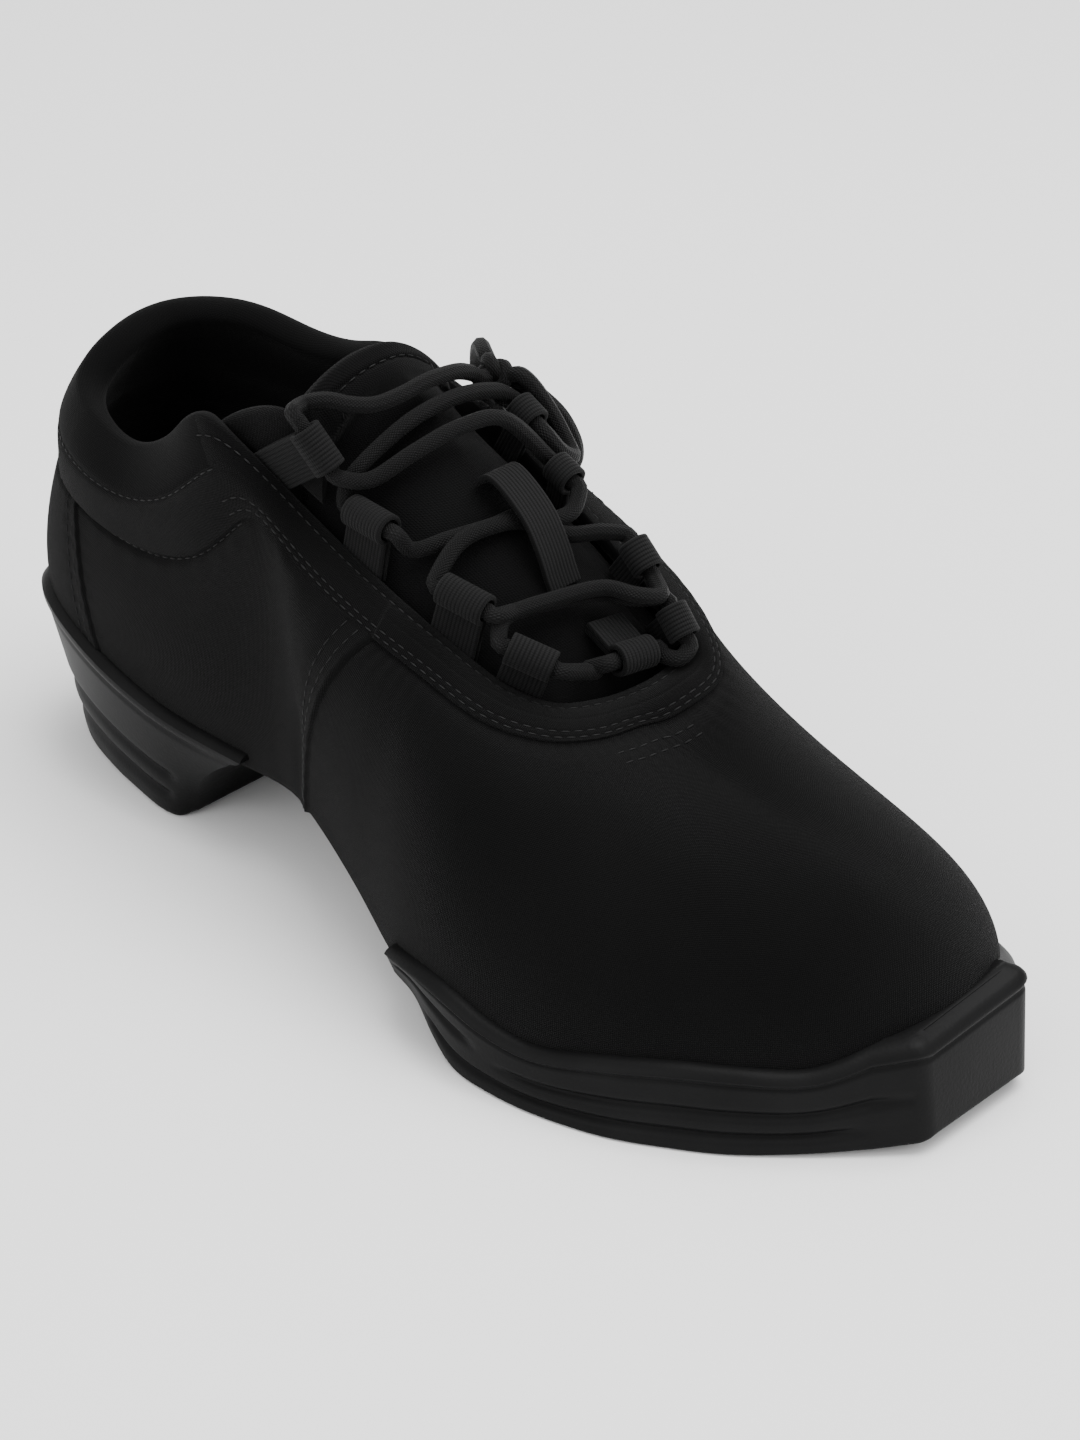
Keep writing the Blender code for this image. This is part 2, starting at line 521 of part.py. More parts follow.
def tongue_rows():
    """Cross-sections of the tongue from its toe end to its tip."""
    rows = []
    for _name, rib, level, crest_x, crest_z, clearance in TONGUE_THROAT:
        under = -(WALL + EYESTAY_STEP + clearance)
        edge_level = min(level + TONGUE_EDGE_RISE, TONGUE_EDGE_TOP)
        ends = [last_point(r, edge_level) + last_normal(r, edge_level) * under for r in (rib, RIB_COUNT - rib)]
        tucks = [last_point(r, level) + last_normal(r, level) * under for r in (rib, RIB_COUNT - rib)]
        rows.append(tongue_section(ends[0], np.array((crest_x, TONGUE_CREST_Y, crest_z)), ends[1], tucks))
    for row in TONGUE_FREE:
        outer, crest, inner = np.array(row[1:4]), np.array(row[4:7]), np.array(row[7:10])
        tucks = (outer - np.array(TONGUE_TUCK), inner + np.array(TONGUE_TUCK) * (1, 1, -1))
        rows.append(tongue_section(outer, crest, inner, tucks))
    return rows


def tongue_height(x, y):
    """Height of the tongue's outside near its crest."""
    crests = [row[3:5] for row in TONGUE_THROAT]
    xs, zs = zip(*sorted(crests))
    return np.interp(x, xs, zs) - TONGUE_FALL * (y - TONGUE_CREST_Y)**2


def build_tongue(material, collection):
    rows = tongue_rows()
    width = len(rows[0])
    points = [point for row in rows for point in row]
    faces = []
    for number in range(len(rows) - 1):
        for index in range(width - 1):
            start = number * width + index
            faces.append((start, start + 1, start + width + 1, start + width))
    tongue = add_mesh_object("tongue", points, faces, material, collection)
    shell = tongue.modifiers.new("padding", "SOLIDIFY")
    shell.thickness = TONGUE_THICKNESS * MM
    shell.offset = -1.0
    return tongue


def loop_frame(name):
    """A lace loop's start, direction, across, outward, reach and width."""
    if name == "toe":
        start, lace = np.array(TOE_LOOP_START), np.array(TOE_LOOP_LACE)
        across, width = np.array((0.0, -1.0, 0.0)), TOE_LOOP_WIDTH
    else:
        rib, clear, x, y, z, width = LACE_LOOPS[name]
        lace = np.array((x, y, z))
        across = unit_vector(last_point(rib + 0.1, 2.0) - last_point(rib - 0.1, 2.0))
        inward = unit_vector(last_point(rib, 2.0) - last_point(rib, 1.7))
        inward = unit_vector(inward - across * (across @ inward))
        normal = unit_vector(np.cross(across, inward))
        edge = last_point(rib, 2.0) + normal * (EYESTAY_STEP - THROAT_WALL / 2 + LOOP_RISE)
        lean = abs(unit_vector(lace - edge) @ normal)
        start = edge + inward * (clear + (WEBBING + GAP / 2) * lean)
        if rib > TOE_TIP:
            across = -across
    direction = unit_vector(lace - start)
    across = unit_vector(across - direction * (across @ direction))
    outward = np.cross(across, direction)
    if outward[2] < 0:
        outward = -outward
    return start, direction, across, outward, np.linalg.norm(lace - start), width


def build_lace_loop(name, frame_name, material, collection):
    """A strip of webbing that starts at its seat, wraps round the lace and comes back."""
    start, direction, across, outward, reach, width = loop_frame(frame_name)
    half_gap = WEBBING / 2 + GAP / 2
    meet = np.arcsin(half_gap / LOOP_RADIUS)
    path = [(0.0, half_gap)]
    for step in range(LOOP_STEPS + 1):
        angle = np.pi - meet - 2 * (np.pi - meet) * step / LOOP_STEPS
        path.append((reach + LOOP_RADIUS * np.cos(angle), LOOP_RADIUS * np.sin(angle)))
    path.append((0.0, -half_gap))
    points = [start + direction * a + outward * b + across * side * width / 2
              for side in (-1, 1) for a, b in path]
    count = len(path)
    faces = [(index, index + 1, count + index + 1, count + index) for index in range(count - 1)]
    loop = add_mesh_object(name, points, faces, material, collection)
    strip = loop.modifiers.new("webbing", "SOLIDIFY")
    strip.thickness = WEBBING * MM
    strip.offset = 0.0
    return loop


def smooth_route(points, step):
    """Points a step apart along the smooth curve through a route."""
    route = [2 * points[0] - points[1]] + list(points) + [2 * points[-1] - points[-2]]
    line = []
    for index in range(1, len(route) - 2):
        before, start, end, after = route[index - 1:index + 3]
        pieces = max(1, round(np.linalg.norm(end - start) / step))
        for piece in range(pieces):
            u = piece / pieces
            line.append(0.5 * (2 * start + (end - before) * u + (2 * before - 5 * start + 4 * end - after) * u**2
                               + (3 * start - before - 3 * end + after) * u**3))
    return line + [points[-1]]


def loop_stations(name, distances):
    """Points on the line through the middle of a loop, at distances toward the toe."""
    start, direction, across, _outward, reach, _width = loop_frame(name)
    return [start + direction * reach + across * distance for distance in distances]


def lace_route(stations):
    """The lace's points, with five in line through each loop."""
    points = []
    for station in stations:
        if isinstance(station, str):
            name = station.lstrip("-")
            half = loop_frame(name)[-1] / 2
            distances = [-half - LACE_LEAD, -half, 0.0, half, half + LACE_LEAD]
            if station.startswith("-"):
                distances.reverse()
            points += loop_stations(name, distances)
        else:
            points.append(np.array(station, float))
    return points


def bow_route(stations):
    """A free stretch's points; one that starts at a loop goes on in line where the lace ends there."""
    first = stations[0]
    if isinstance(first, str):
        name = first.lstrip("-")
        side = -1 if first.startswith("-") else 1
        end = loop_frame(name)[-1] / 2 + LACE_LEAD
        start = loop_stations(name, [side * (end + 1.5 * GAP), side * (end + LACE_LEAD)])
    else:
        start = [first]
    return [np.array(point, float) for point in start + list(stations[1:])]


def add_lace(name, points, material, collection):
    """A lace as a curve with a round bevel and filled ends."""
    line = smooth_route(points, LACE_STEP)
    curve = bpy.data.curves.new(name, "CURVE")
    curve.dimensions = "3D"
    curve.bevel_depth = LACE_RADIUS * MM
    curve.bevel_resolution = (LACE_SIDES - 4) // 2
    curve.use_fill_caps = True
    curve.materials.append(material)
    spline = curve.splines.new("POLY")
    spline.points.add(len(line) - 1)
    for point, place in zip(spline.points, line):
        point.co = (*to_scene(place), 1.0)
    item = bpy.data.objects.new(name, curve)
    collection.objects.link(item)
    return item


def curve_to_mesh(item):
    """Replace a curve object by its mesh, with the caps welded on."""
    view = bpy.context.evaluated_depsgraph_get()
    mesh = bpy.data.meshes.new_from_object(item.evaluated_get(view))
    work = bmesh.new()
    work.from_mesh(mesh)
    bmesh.ops.remove_doubles(work, verts=work.verts, dist=0.01 * MM)
    work.to_mesh(mesh)
    work.free()
    solid = bpy.data.objects.new(item.name, mesh)
    solid.matrix_world = item.matrix_world
    item.users_collection[0].objects.link(solid)
    name = item.name
    bpy.data.objects.remove(item, do_unlink=True)
    solid.name = name
    return solid


def build_lace_crossings(material, collection, guides):
    """Both halves of the lace, joined where they cross and at the toe loop."""
    outer = curve_to_mesh(add_lace("lace_crossings", lace_route(LACE_OUTER_HALF), material, collection))
    inner = curve_to_mesh(add_lace("inner half of the lace", lace_route(LACE_INNER_HALF), material, guides))
    join = outer.modifiers.new("join", "BOOLEAN")
    join.operation = "UNION"
    join.solver = "EXACT"
    join.object = inner
    inner.hide_render = True
    inner.display_type = "WIRE"


def build_bow(material, collection):
    """The knot and the free stretches of lace beside the tongue."""
    bpy.ops.mesh.primitive_uv_sphere_add(segments=16, ring_count=8, location=to_scene(KNOT_CENTRE))
    knot = bpy.context.object
    knot.name = knot.data.name = "bow_knot"
    knot.data.transform(Matrix.Diagonal((*(radius * MM for radius in KNOT_RADII), 1.0)))
    knot.data.materials.append(material)
    knot.data.shade_smooth()
    for owner in list(knot.users_collection):
        owner.objects.unlink(knot)
    collection.objects.link(knot)
    for name, route in BOW_ROUTES.items():
        add_lace(name, bow_route(route), material, collection)


def build_keeper(material, collection):
    """The webbing strap that stands over the tongue and lets the laces through."""
    points = []
    for side in (-1, 1):
        for x, height in KEEPER_ROUTE:
            y = KEEPER_Y + side * KEEPER_WIDTH / 2
            points.append((x, y, tongue_height(x, y) + height))
    count = len(KEEPER_ROUTE)
    faces = [(index, index + 1, count + index + 1, count + index) for index in range(count - 1)]
    keeper = add_mesh_object("tongue_keeper", points, faces, material, collection)
    strip = keeper.modifiers.new("webbing", "SOLIDIFY")
    strip.thickness = WEBBING * MM
    strip.offset = 0.0


def main():
    for item in list(bpy.data.objects):
        bpy.data.objects.remove(item, do_unlink=True)
    shoe = make_collection("dance sneaker")
    guides = make_collection("cutters")
    canvas = make_material("canvas", (0.014, 0.014, 0.015), 0.85)
    rubber = make_material("rubber", (0.03, 0.03, 0.031), 0.5)
    lining = make_material("lining", (0.010, 0.010, 0.011), 0.9)
    twill = make_material("twill", (0.012, 0.012, 0.013), 0.8)
    lace = make_material("lace", (0.02, 0.02, 0.021), 0.75)
    webbing = make_material("webbing", (0.016, 0.016, 0.017), 0.8)

    build_upper(canvas, shoe)
    form = build_last_form(guides)
    build_sole("forefoot_sole", FOREFOOT_ROWS, (TOE_FACE,), FOREFOOT_GROOVES, form, rubber, shoe)
    build_sole("heel_sole", HEEL_ROWS, (), HEEL_GROOVES, form, rubber, shoe)
    build_insole(lining, shoe)
    build_tongue(twill, shoe)
    for name in LACE_LOOPS:
        build_lace_loop(name, name, webbing, shoe)
    build_lace_loop("lace_loop_toe", "toe", webbing, shoe)
    build_keeper(webbing, shoe)
    build_lace_crossings(lace, shoe, guides)
    build_bow(lace, shoe)


main()
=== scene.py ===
# %% [markdown]
# # A black canvas dance sneaker
# The shoe is black on black, so everything that tells its parts apart is shape: steps where one
# layer of cloth lies on another, rows of thread, webbing, round lace and satin rubber. The packed
# model gives the sizes. Each soft piece is modelled again here at a finer step, in the same place.

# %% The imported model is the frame
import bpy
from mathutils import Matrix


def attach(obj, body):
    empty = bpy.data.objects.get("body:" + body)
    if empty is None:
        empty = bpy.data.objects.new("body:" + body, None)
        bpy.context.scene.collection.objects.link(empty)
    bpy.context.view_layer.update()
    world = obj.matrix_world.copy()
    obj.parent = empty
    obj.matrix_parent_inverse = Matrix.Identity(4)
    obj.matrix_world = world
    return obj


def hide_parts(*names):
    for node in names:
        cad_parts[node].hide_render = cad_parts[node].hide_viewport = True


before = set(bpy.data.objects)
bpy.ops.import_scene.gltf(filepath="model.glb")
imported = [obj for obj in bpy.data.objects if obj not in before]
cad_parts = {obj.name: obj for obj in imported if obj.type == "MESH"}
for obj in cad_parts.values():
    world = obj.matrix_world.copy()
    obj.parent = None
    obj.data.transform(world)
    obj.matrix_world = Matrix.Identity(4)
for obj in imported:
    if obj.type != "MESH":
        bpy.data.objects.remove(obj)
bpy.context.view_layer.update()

# %% Modules
import math

import bmesh
import bpy
import numpy as np
from mathutils import Vector

# %% [markdown]
# ## Millimetres from the heel
# A shoemaker measures from the back of the heel, so the tables below do too: x runs to the toe, y
# to the inner side of the foot, z up. One function turns such a point into the frame's metres.

# %% Units
MM = 0.001
SHOE_ORIGIN = np.array((130.4, -3.9, 0.0))      # middle of the footprint, from the heel back, mm


def to_scene(points):
    """From millimetres measured from the heel to the frame's metres."""
    return (np.asarray(points, float) - SHOE_ORIGIN) * MM


# %% [markdown]
# ## Camera
# The photograph looks down at the outer front of the shoe through a long lens from about 70 cm. The
# camera stands where that view is, and looks along its axis with no shift.

# %% Camera
CAMERA_PLACE = (563.5, -443.1, 408.8)
CAMERA_AZIMUTH = math.radians(43.3696)
CAMERA_ELEVATION = math.radians(30.6091)
camera = bpy.data.cameras.new("camera")
camera.lens = 85.0
camera.sensor_width = 36.0
camera.clip_start = 0.05
camera_item = bpy.data.objects.new("camera", camera)
bpy.context.scene.collection.objects.link(camera_item)
backward = Vector((math.sin(CAMERA_AZIMUTH) * math.cos(CAMERA_ELEVATION),
                   -math.cos(CAMERA_AZIMUTH) * math.cos(CAMERA_ELEVATION), math.sin(CAMERA_ELEVATION)))
camera_item.location = to_scene(CAMERA_PLACE)
camera_item.rotation_mode = "QUATERNION"
camera_item.rotation_quaternion = backward.to_track_quat("Z", "Y")
bpy.context.scene.camera = camera_item
print("camera", [round(c, 3) for c in camera_item.location])

# %% [markdown]
# ## The last
# A shoe is built round a last, a solid foot form. Its surface could be sculpted, but a table of ribs
# is easier to read and to change: each rib starts at the foot of the wall, rises to the seam of the
# eyestay or collar, and ends at the topline. A closed cubic curve joins the ribs round the shoe.

# %% Ribs of the last
RIB_TABLE = (
    # foot x, y, z     band x, y, z       top x, y, z        rise, lean, reach, crown, puff, padding
    (5,   0,   37,   7,     0,     73,     13,    1,     96,     13, 3, 10, 0,  2.0, 7.0),    # heel back
    (11,  -19, 36,   13,    -17,   71,     18,    -14,   91,     13, 3, 10, 0,  2.0, 7.0),
    (32,  -29, 33,   31,    -26,   68,     32,    -22,   88,     13, 3, 10, 0,  3.0, 6.5),
    (54,  -31, 29,   52,    -29,   67,     47,    -24,   87,     13, 3, 12, 0,  3.0, 6.0),
    (78,  -30, 26,   73,    -29,   73,     62,    -25,   95,     14, 3, 14, 0,  3.0, 5.0),
    (98,  -30, 26,   88,    -27,   86,     77,    -27,   104,    16, 4, 16, 0,  1.0, 3.0),    # eyestay top
    (113, -33, 22,   102,   -28,   81,     97,    -22,   90,     18, 4, 18, 0,  0.6, 2.8),
    (129, -38, 16,   121,   -29.5, 74,     119,   -21.5, 80,     18, 4, 18, 0,  0.6, 2.8),
    (148, -46, 12,   139,   -29.5, 69,     136,   -20,   72.5,   18, 4, 18, 0,  0.6, 2.8),
    (172, -51, 10,   154,   -27.5, 63.5,   148.5, -17,   66,     17, 4, 22, 0,  0.6, 2.8),    # ball
    (200, -46, 11,   164,   -21,   60,     154.5, -14,   63.2,   18, 4, 28, 2,  0.6, 2.8),
    (225, -33, 13,   169.5, -15.5, 59.4,   159.5, -11,   62,     20, 5, 34, 4,  0.6, 2.8),
    (243, -17, 16,   173,   -9,    59.3,   163.3, -6,    61.8,   22, 4, 39, 6,  0.6, 2.8),
    (251, 4,   18,   175,   -2,    59.6,   166,   0,     62,     22, 6, 40, 7,  0.6, 2.8),    # toe tip
    (248, 22,  16,   178,   3,     60.5,   168.6, 7,     63.4,   26, 9, 37, 7,  0.6, 2.8),
    (234, 35,  14,   180,   10,    62.6,   169.2, 13,    64.5,   28, 9, 28, 3,  0.6, 2.8),
    (210, 41,  12,   178,   19,    65,     168,   19,    66.5,   21, 7, 8,  2,  0.6, 2.8),
    (183, 43,  11,   164,   28,    70,     158,   21,    73.5,   19, 4, 2,  -2, 0.6, 2.8),    # inner ball
    (158, 41,  13,   147,   31,    77,     141,   23,    81.5,   15, 4, 4,  1,  0.6, 2.8),
    (135, 36,  17,   127,   32,    84,     122,   24,    90,     18, 4, 8,  0,  0.6, 2.8),
    (117, 32,  22,   106,   32,    91,     101,   25,    98,     18, 4, 8,  0,  0.6, 2.8),
    (98,  30,  26,   89,    31,    93,     79,    26,    103,    16, 4, 10, 0,  1.0, 3.0),    # inner eyestay
    (79,  30,  27,   70,    31,    80,     63,    28,    99,     14, 3, 12, 0,  3.0, 5.0),
    (54,  30,  30,   51,    31,    73,     47,    28.5,  97.3,   13, 3, 12, 0,  3.0, 6.0),
    (32,  29,  33,   30,    28,    73,     30,    26,    99,     13, 3, 10, 0,  3.0, 6.5),
    (11,  19,  36,   12,    18,    74,     15,    17,    98,     13, 3, 10, 0,  2.5, 7.0),
)
RIBS = np.array(RIB_TABLE, float)
RIB_COUNT = len(RIBS)
TOE_TIP = 13
LASTING_MARGIN = 10.0   # cloth turned in under the foot, mm
MARGIN_DROP = 5.0       # how far its edge lies below the foot of the wall
MARGIN_TURN = 4.0       # roundness of the turn
STEP_AHEAD = 0.02       # in ribs or levels, for the directions of the surface
print("ribs", RIB_COUNT)


# %% The closed curve through the ribs
def closed_slopes(rows):
    """Slope at each row of the closed cubic that bends smoothly through all of them."""
    unit_matrix = np.eye(len(rows))
    matrix = 4 * unit_matrix + np.roll(unit_matrix, 1, axis=1) + np.roll(unit_matrix, -1, axis=1)
    return np.linalg.solve(matrix, 3 * (np.roll(rows, -1, axis=0) - np.roll(rows, 1, axis=0)))


RIB_SLOPES = closed_slopes(RIBS)


def rib_rows(rib):
    """Every column of the table at rib numbers that may lie between two rows."""
    rib = np.asarray(rib, float)
    first = np.floor(rib).astype(int) % RIB_COUNT
    after = (first + 1) % RIB_COUNT
    u = (rib - np.floor(rib))[..., None]
    return ((2 * u**3 - 3 * u**2 + 1) * RIBS[first] + (u**3 - 2 * u**2 + u) * RIB_SLOPES[first]
            + (3 * u**2 - 2 * u**3) * RIBS[after] + (u**3 - u**2) * RIB_SLOPES[after])


def unit(vectors):
    """The same directions with a length of one."""
    return vectors / np.linalg.norm(vectors, axis=-1, keepdims=True)


def last_points(rib, level):
    """Points of the last: level -1 is the edge of the margin, 0 the foot, 1 the band, 2 the topline."""
    rib, level = np.broadcast_arrays(np.asarray(rib, float), np.asarray(level, float))
    row, ahead = rib_rows(rib), rib_rows(rib + STEP_AHEAD)
    foot, band, top = row[..., 0:3], row[..., 3:6], row[..., 6:9]
    rise, lean, reach, crown, puff = (row[..., k:k + 1] for k in range(9, 14))
    along = unit((ahead[..., 0:3] - foot) * (1, 1, 0))
    outward = np.stack((along[..., 1], -along[..., 0], np.zeros_like(along[..., 0])), -1)
    up = np.array((0.0, 0.0, 1.0))
    u = np.clip(-level, 0, 1)[..., None]
    turn = foot - MARGIN_TURN * unit(outward * lean + up * rise)
    end = foot - outward * LASTING_MARGIN - up * MARGIN_DROP
    margin = (1 - u)**2 * foot + 2 * (1 - u) * u * turn + u**2 * end
    u = np.clip(level, 0, 1)[..., None]
    low = foot + outward * lean + up * rise
    high = band + unit(band - top) * reach + up * crown
    wall = (1 - u)**3 * foot + 3 * (1 - u)**2 * u * low + 3 * (1 - u) * u**2 * high + u**3 * band
    u = np.clip(level - 1, 0, 1)[..., None]
    swell = unit(np.cross(ahead[..., 3:6] - band, top - band)) * puff
    collar = band + (top - band) * u + swell * 4 * u * (1 - u)
    return np.where((level < 0)[..., None], margin, np.where((level <= 1)[..., None], wall, collar))


def last_normals(rib, level):
    """Outward directions of the last's surface."""
    rib, level = np.broadcast_arrays(np.asarray(rib, float), np.asarray(level, float))
    across = last_points(rib + STEP_AHEAD, level) - last_points(rib - STEP_AHEAD, level)
    low, high = np.maximum(level - STEP_AHEAD, -1.0), np.minimum(level + STEP_AHEAD, 2.0)
    low = np.where((low < 1) & (level > 1), 1.0, low)
    high = np.where((high > 1) & (level <= 1), 1.0, high)
    return unit(np.cross(across, last_points(rib, high) - last_points(rib, low)))


print("toe tip", last_points(float(TOE_TIP), 0.0).round(1))

# %% [markdown]
# ## Layers of cloth
# The quarter lies over the vamp at the waist, the heel counter lies over the quarter, and the
# eyestay and collar band lie over both. Each overlap is a step of a fraction of a millimetre. Along
# a row of stitches the cloth is drawn in, and between stitches it puckers a little.

# %% Steps, puckers and soft folds of the upper
WAIST_SEAM = (6.5, 5.6, 7.3)        # rib at the middle of the wall, at its foot and at the band
COUNTER_SEAM = (2.15, 2.45, 1.85)
SEAM_REACH = 1.6                    # how far the grid leans along with a seam, in ribs
SEAM_FADE = 1.5                     # how far back from its edge the quarter's step fades out, in ribs
SEAM_SOFTNESS = 0.03                # half the width of a step, in ribs
BAND_EDGE = (0.992, 1.012)          # levels where the eyestay and collar band step up
EYESTAY_STEP = 0.8
QUARTER_STEP = 0.8
COUNTER_STEP = 0.7
SEAM_DRAW = 0.28                    # how deep a row of stitches draws the cloth in, mm
PUCKER = 0.09
PUCKERS_UP = 60                     # puckers up a seam and along the band, as radians per level or rib
PUCKERS_ALONG = 21
SEAM_ROWS = (1.09, 1.22)            # levels of the double row along the eyestay
THROAT_ROW = 1.84
TOPLINE_ROW = 1.52
COLLAR_ROW = 0.982
ROWS_BEHIND_SEAM = (0.12, 0.24)     # the double row beside a seam, in ribs
COLLAR_END = 4.75                   # rib where the collar band becomes the eyestay
COLLAR_BLEND = 0.3
DRAWN_ROWS = (
    # level          half width   depth in SEAM_DRAW   on the eyestay, or else on the collar
    (SEAM_ROWS[0],   0.03,        0.5,                 True),
    (SEAM_ROWS[1],   0.03,        0.5,                 True),
    (THROAT_ROW,     0.04,        0.5,                 True),
    (TOPLINE_ROW,    0.035,       1.5,                 False),
    (0.975,          0.02,        2.0,                 False),
)
FOLDS = (
    # name                rib    level  reach in ribs, levels, height in mm
    ("heel pad dent",     1.2,   1.25,  0.5, 0.22,  -0.9),
    ("collar dip",        3.1,   1.20,  0.7, 0.20,  -0.7),
    ("collar roll",       2.6,   1.72,  0.5, 0.20,   0.4),
    ("quarter swell",     5.1,   0.72,  0.7, 0.25,   0.9),
    ("quarter back",      3.2,   0.55,  0.8, 0.30,   0.5),
    ("waist fold",        6.0,   0.30,  0.25, 0.30,  -0.7),
    ("waist ridge",       6.45,  0.22,  0.25, 0.25,   0.6),
    ("behind the ball",   7.7,   0.35,  0.35, 0.35,  -0.6),
    ("ball flex",         9.3,   0.55,  0.6, 0.22,  -0.35),
    ("inner quarter",     21.6,  0.60,  1.0, 0.30,  -0.8),
    ("inner waist fold",  20.0,  0.28,  0.3, 0.30,  -0.7),
    ("inner ball flex",   17.3,  0.55,  0.5, 0.25,  -0.4),
    ("inner collar dip",  23.2,  1.25,  0.7, 0.22,  -0.7),
)


def near_side(column):
    """Rib number counted from the heel on either side."""
    return np.where(column <= TOE_TIP, column, RIB_COUNT - column)


def seam_rib(seam, level):
    """Rib where a seam crosses a level of the wall."""
    return seam[1] + (seam[2] - seam[1]) * np.clip(level, 0, 1)


def lean_with_seams(column, level):
    """Columns of the grid lean along with the seams."""
    near = near_side(column)
    shift = 0.0
    for seam in (WAIST_SEAM, COUNTER_SEAM):
        share = np.maximum(0.0, 1 - np.abs(near - seam[0]) / SEAM_REACH)
        shift = shift + share * (seam_rib(seam, level) - seam[0])
    return column + np.where(column <= TOE_TIP, 1, -1) * shift


def ease(value, start, end):
    """A soft step from 0 to 1."""
    u = np.clip((value - start) / (end - start), 0, 1)
    return u * u * (3 - 2 * u)


def groove(value, middle, half):
    """A rounded groove, 1 deep at its middle."""
    return np.exp(-((value - middle) / half)**2)


def relief(column, level):
    """How far the outside of the upper stands off the last, mm."""
    column, level = np.broadcast_arrays(np.asarray(column, float), np.asarray(level, float))
    near = near_side(column)
    wall = (level >= -0.05) & (level <= 1.0)
    height = EYESTAY_STEP * ease(level, *BAND_EDGE)
    quarter = QUARTER_STEP * np.maximum(0.0, 1 - (WAIST_SEAM[0] - near) / SEAM_FADE)
    for seam, step in ((WAIST_SEAM, quarter), (COUNTER_SEAM, COUNTER_STEP)):
        behind = 1 - ease(near, seam[0] - SEAM_SOFTNESS, seam[0] + SEAM_SOFTNESS)
        height = height + np.where(wall, step * behind, 0)
    on_eyestay = ease(near, COLLAR_END - COLLAR_BLEND, COLLAR_END)
    for row, half, depth, eyestay in DRAWN_ROWS:
        where = on_eyestay if eyestay else 1 - on_eyestay
        height = height - SEAM_DRAW * depth * groove(level, row, half) * where
    for seam in (WAIST_SEAM, COUNTER_SEAM):
        drawn = sum(groove(near, seam[0] - back, 0.05) for back in ROWS_BEHIND_SEAM)
        height = height - np.where(wall, SEAM_DRAW * 0.8 * drawn, 0)
        waves = np.sin(level * PUCKERS_UP) * groove(near, seam[0] - 0.1, 0.22)
        height = height + np.where(wall, PUCKER * waves, 0)
    height = height + PUCKER * np.sin(near * PUCKERS_ALONG) * groove(level, 0.95, 0.07)
    for _name, rib, at, ribs, levels, amount in FOLDS:
        height = height + amount * groove(column, rib, ribs) * groove(level, at, levels)
    return height


def on_upper(column, level, lift=0.0):
    """Points on the outside of the upper, lifted off it."""
    rib = lean_with_seams(np.asarray(column, float), level)
    return last_points(rib, level) + last_normals(rib, level) * (relief(column, level) + lift)[..., None]


print("eyestay stands", float(relief(8.0, 1.5).round(2)), "mm proud")


# %% [markdown]
# ## Materials
# All colours here are nearly black, so the finish does most of the work. Cloth has a weave of raised
# threads that follows the piece's own UV map, in millimetres, and a sheen at grazing angles. Rubber is
# satin with a fine moulded grain. On cloth, webbing, lace and thread the colour is painted lighter on
# the crests of the relief and darker in its hollows, as painted highlight and shade. A few small
# helpers keep the node trees short.

# %% Node helpers
def new_material(name):
    """A material with its node tree and shader."""
    material = bpy.data.materials.new(name)
    material.use_nodes = True
    return material, material.node_tree, material.node_tree.nodes["Principled BSDF"]


def maths(tree, operation, a, b=None):
    """A Math node fed by sockets or numbers."""
    node = tree.nodes.new("ShaderNodeMath")
    node.operation = operation
    for index, value in enumerate((a, b)):
        if value is None:
            continue
        if isinstance(value, (int, float)):
            node.inputs[index].default_value = value
        else:
            tree.links.new(value, node.inputs[index])
    return node.outputs[0]


def split_uv(tree):
    """The two UV coordinates, in mm."""
    uv = tree.nodes.new("ShaderNodeUVMap")
    uv.uv_map = "cloth"
    split = tree.nodes.new("ShaderNodeSeparateXYZ")
    tree.links.new(uv.outputs[0], split.inputs[0])
    return split.outputs[0], split.outputs[1]


def noise(tree, scale, detail=4.0):
    """Noise on Object coordinates; scale is in lumps per metre."""
    place = tree.nodes.new("ShaderNodeTexCoord")
    node = tree.nodes.new("ShaderNodeTexNoise")
    node.inputs["Scale"].default_value = scale
    node.inputs["Detail"].default_value = detail
    tree.links.new(place.outputs["Object"], node.inputs["Vector"])
    return node.outputs[0]


def colour_between(tree, factor, dark, light):
    """A ramp from a dark to a light colour."""
    ramp = tree.nodes.new("ShaderNodeValToRGB")
    ramp.color_ramp.elements[0].color = (*dark, 1.0)
    ramp.color_ramp.elements[0].position = 0.25
    ramp.color_ramp.elements[1].color = (*light, 1.0)
    ramp.color_ramp.elements[1].position = 0.75
    tree.links.new(factor, ramp.inputs[0])
    return ramp.outputs[0]


def add_bump(tree, shader, height, distance_mm):
    """Fine relief that is too small for the mesh."""
    bump = tree.nodes.new("ShaderNodeBump")
    bump.inputs["Distance"].default_value = distance_mm * MM
    bump.inputs["Strength"].default_value = 1.0
    tree.links.new(height, bump.inputs["Height"])
    tree.links.new(bump.outputs[0], shader.inputs["Normal"])


def grey(value):
    """Black dye with a trace of blue."""
    return (value, value, value * 1.02)


def set_finish(shader, rough, gloss, sheen=0.0):
    """Roughness, mirror-like gloss, and the pale fuzz that cloth shows at a grazing angle."""
    shader.inputs["Roughness"].default_value = rough
    shader.inputs["Specular IOR Level"].default_value = gloss
    shader.inputs["Sheen Weight"].default_value = sheen


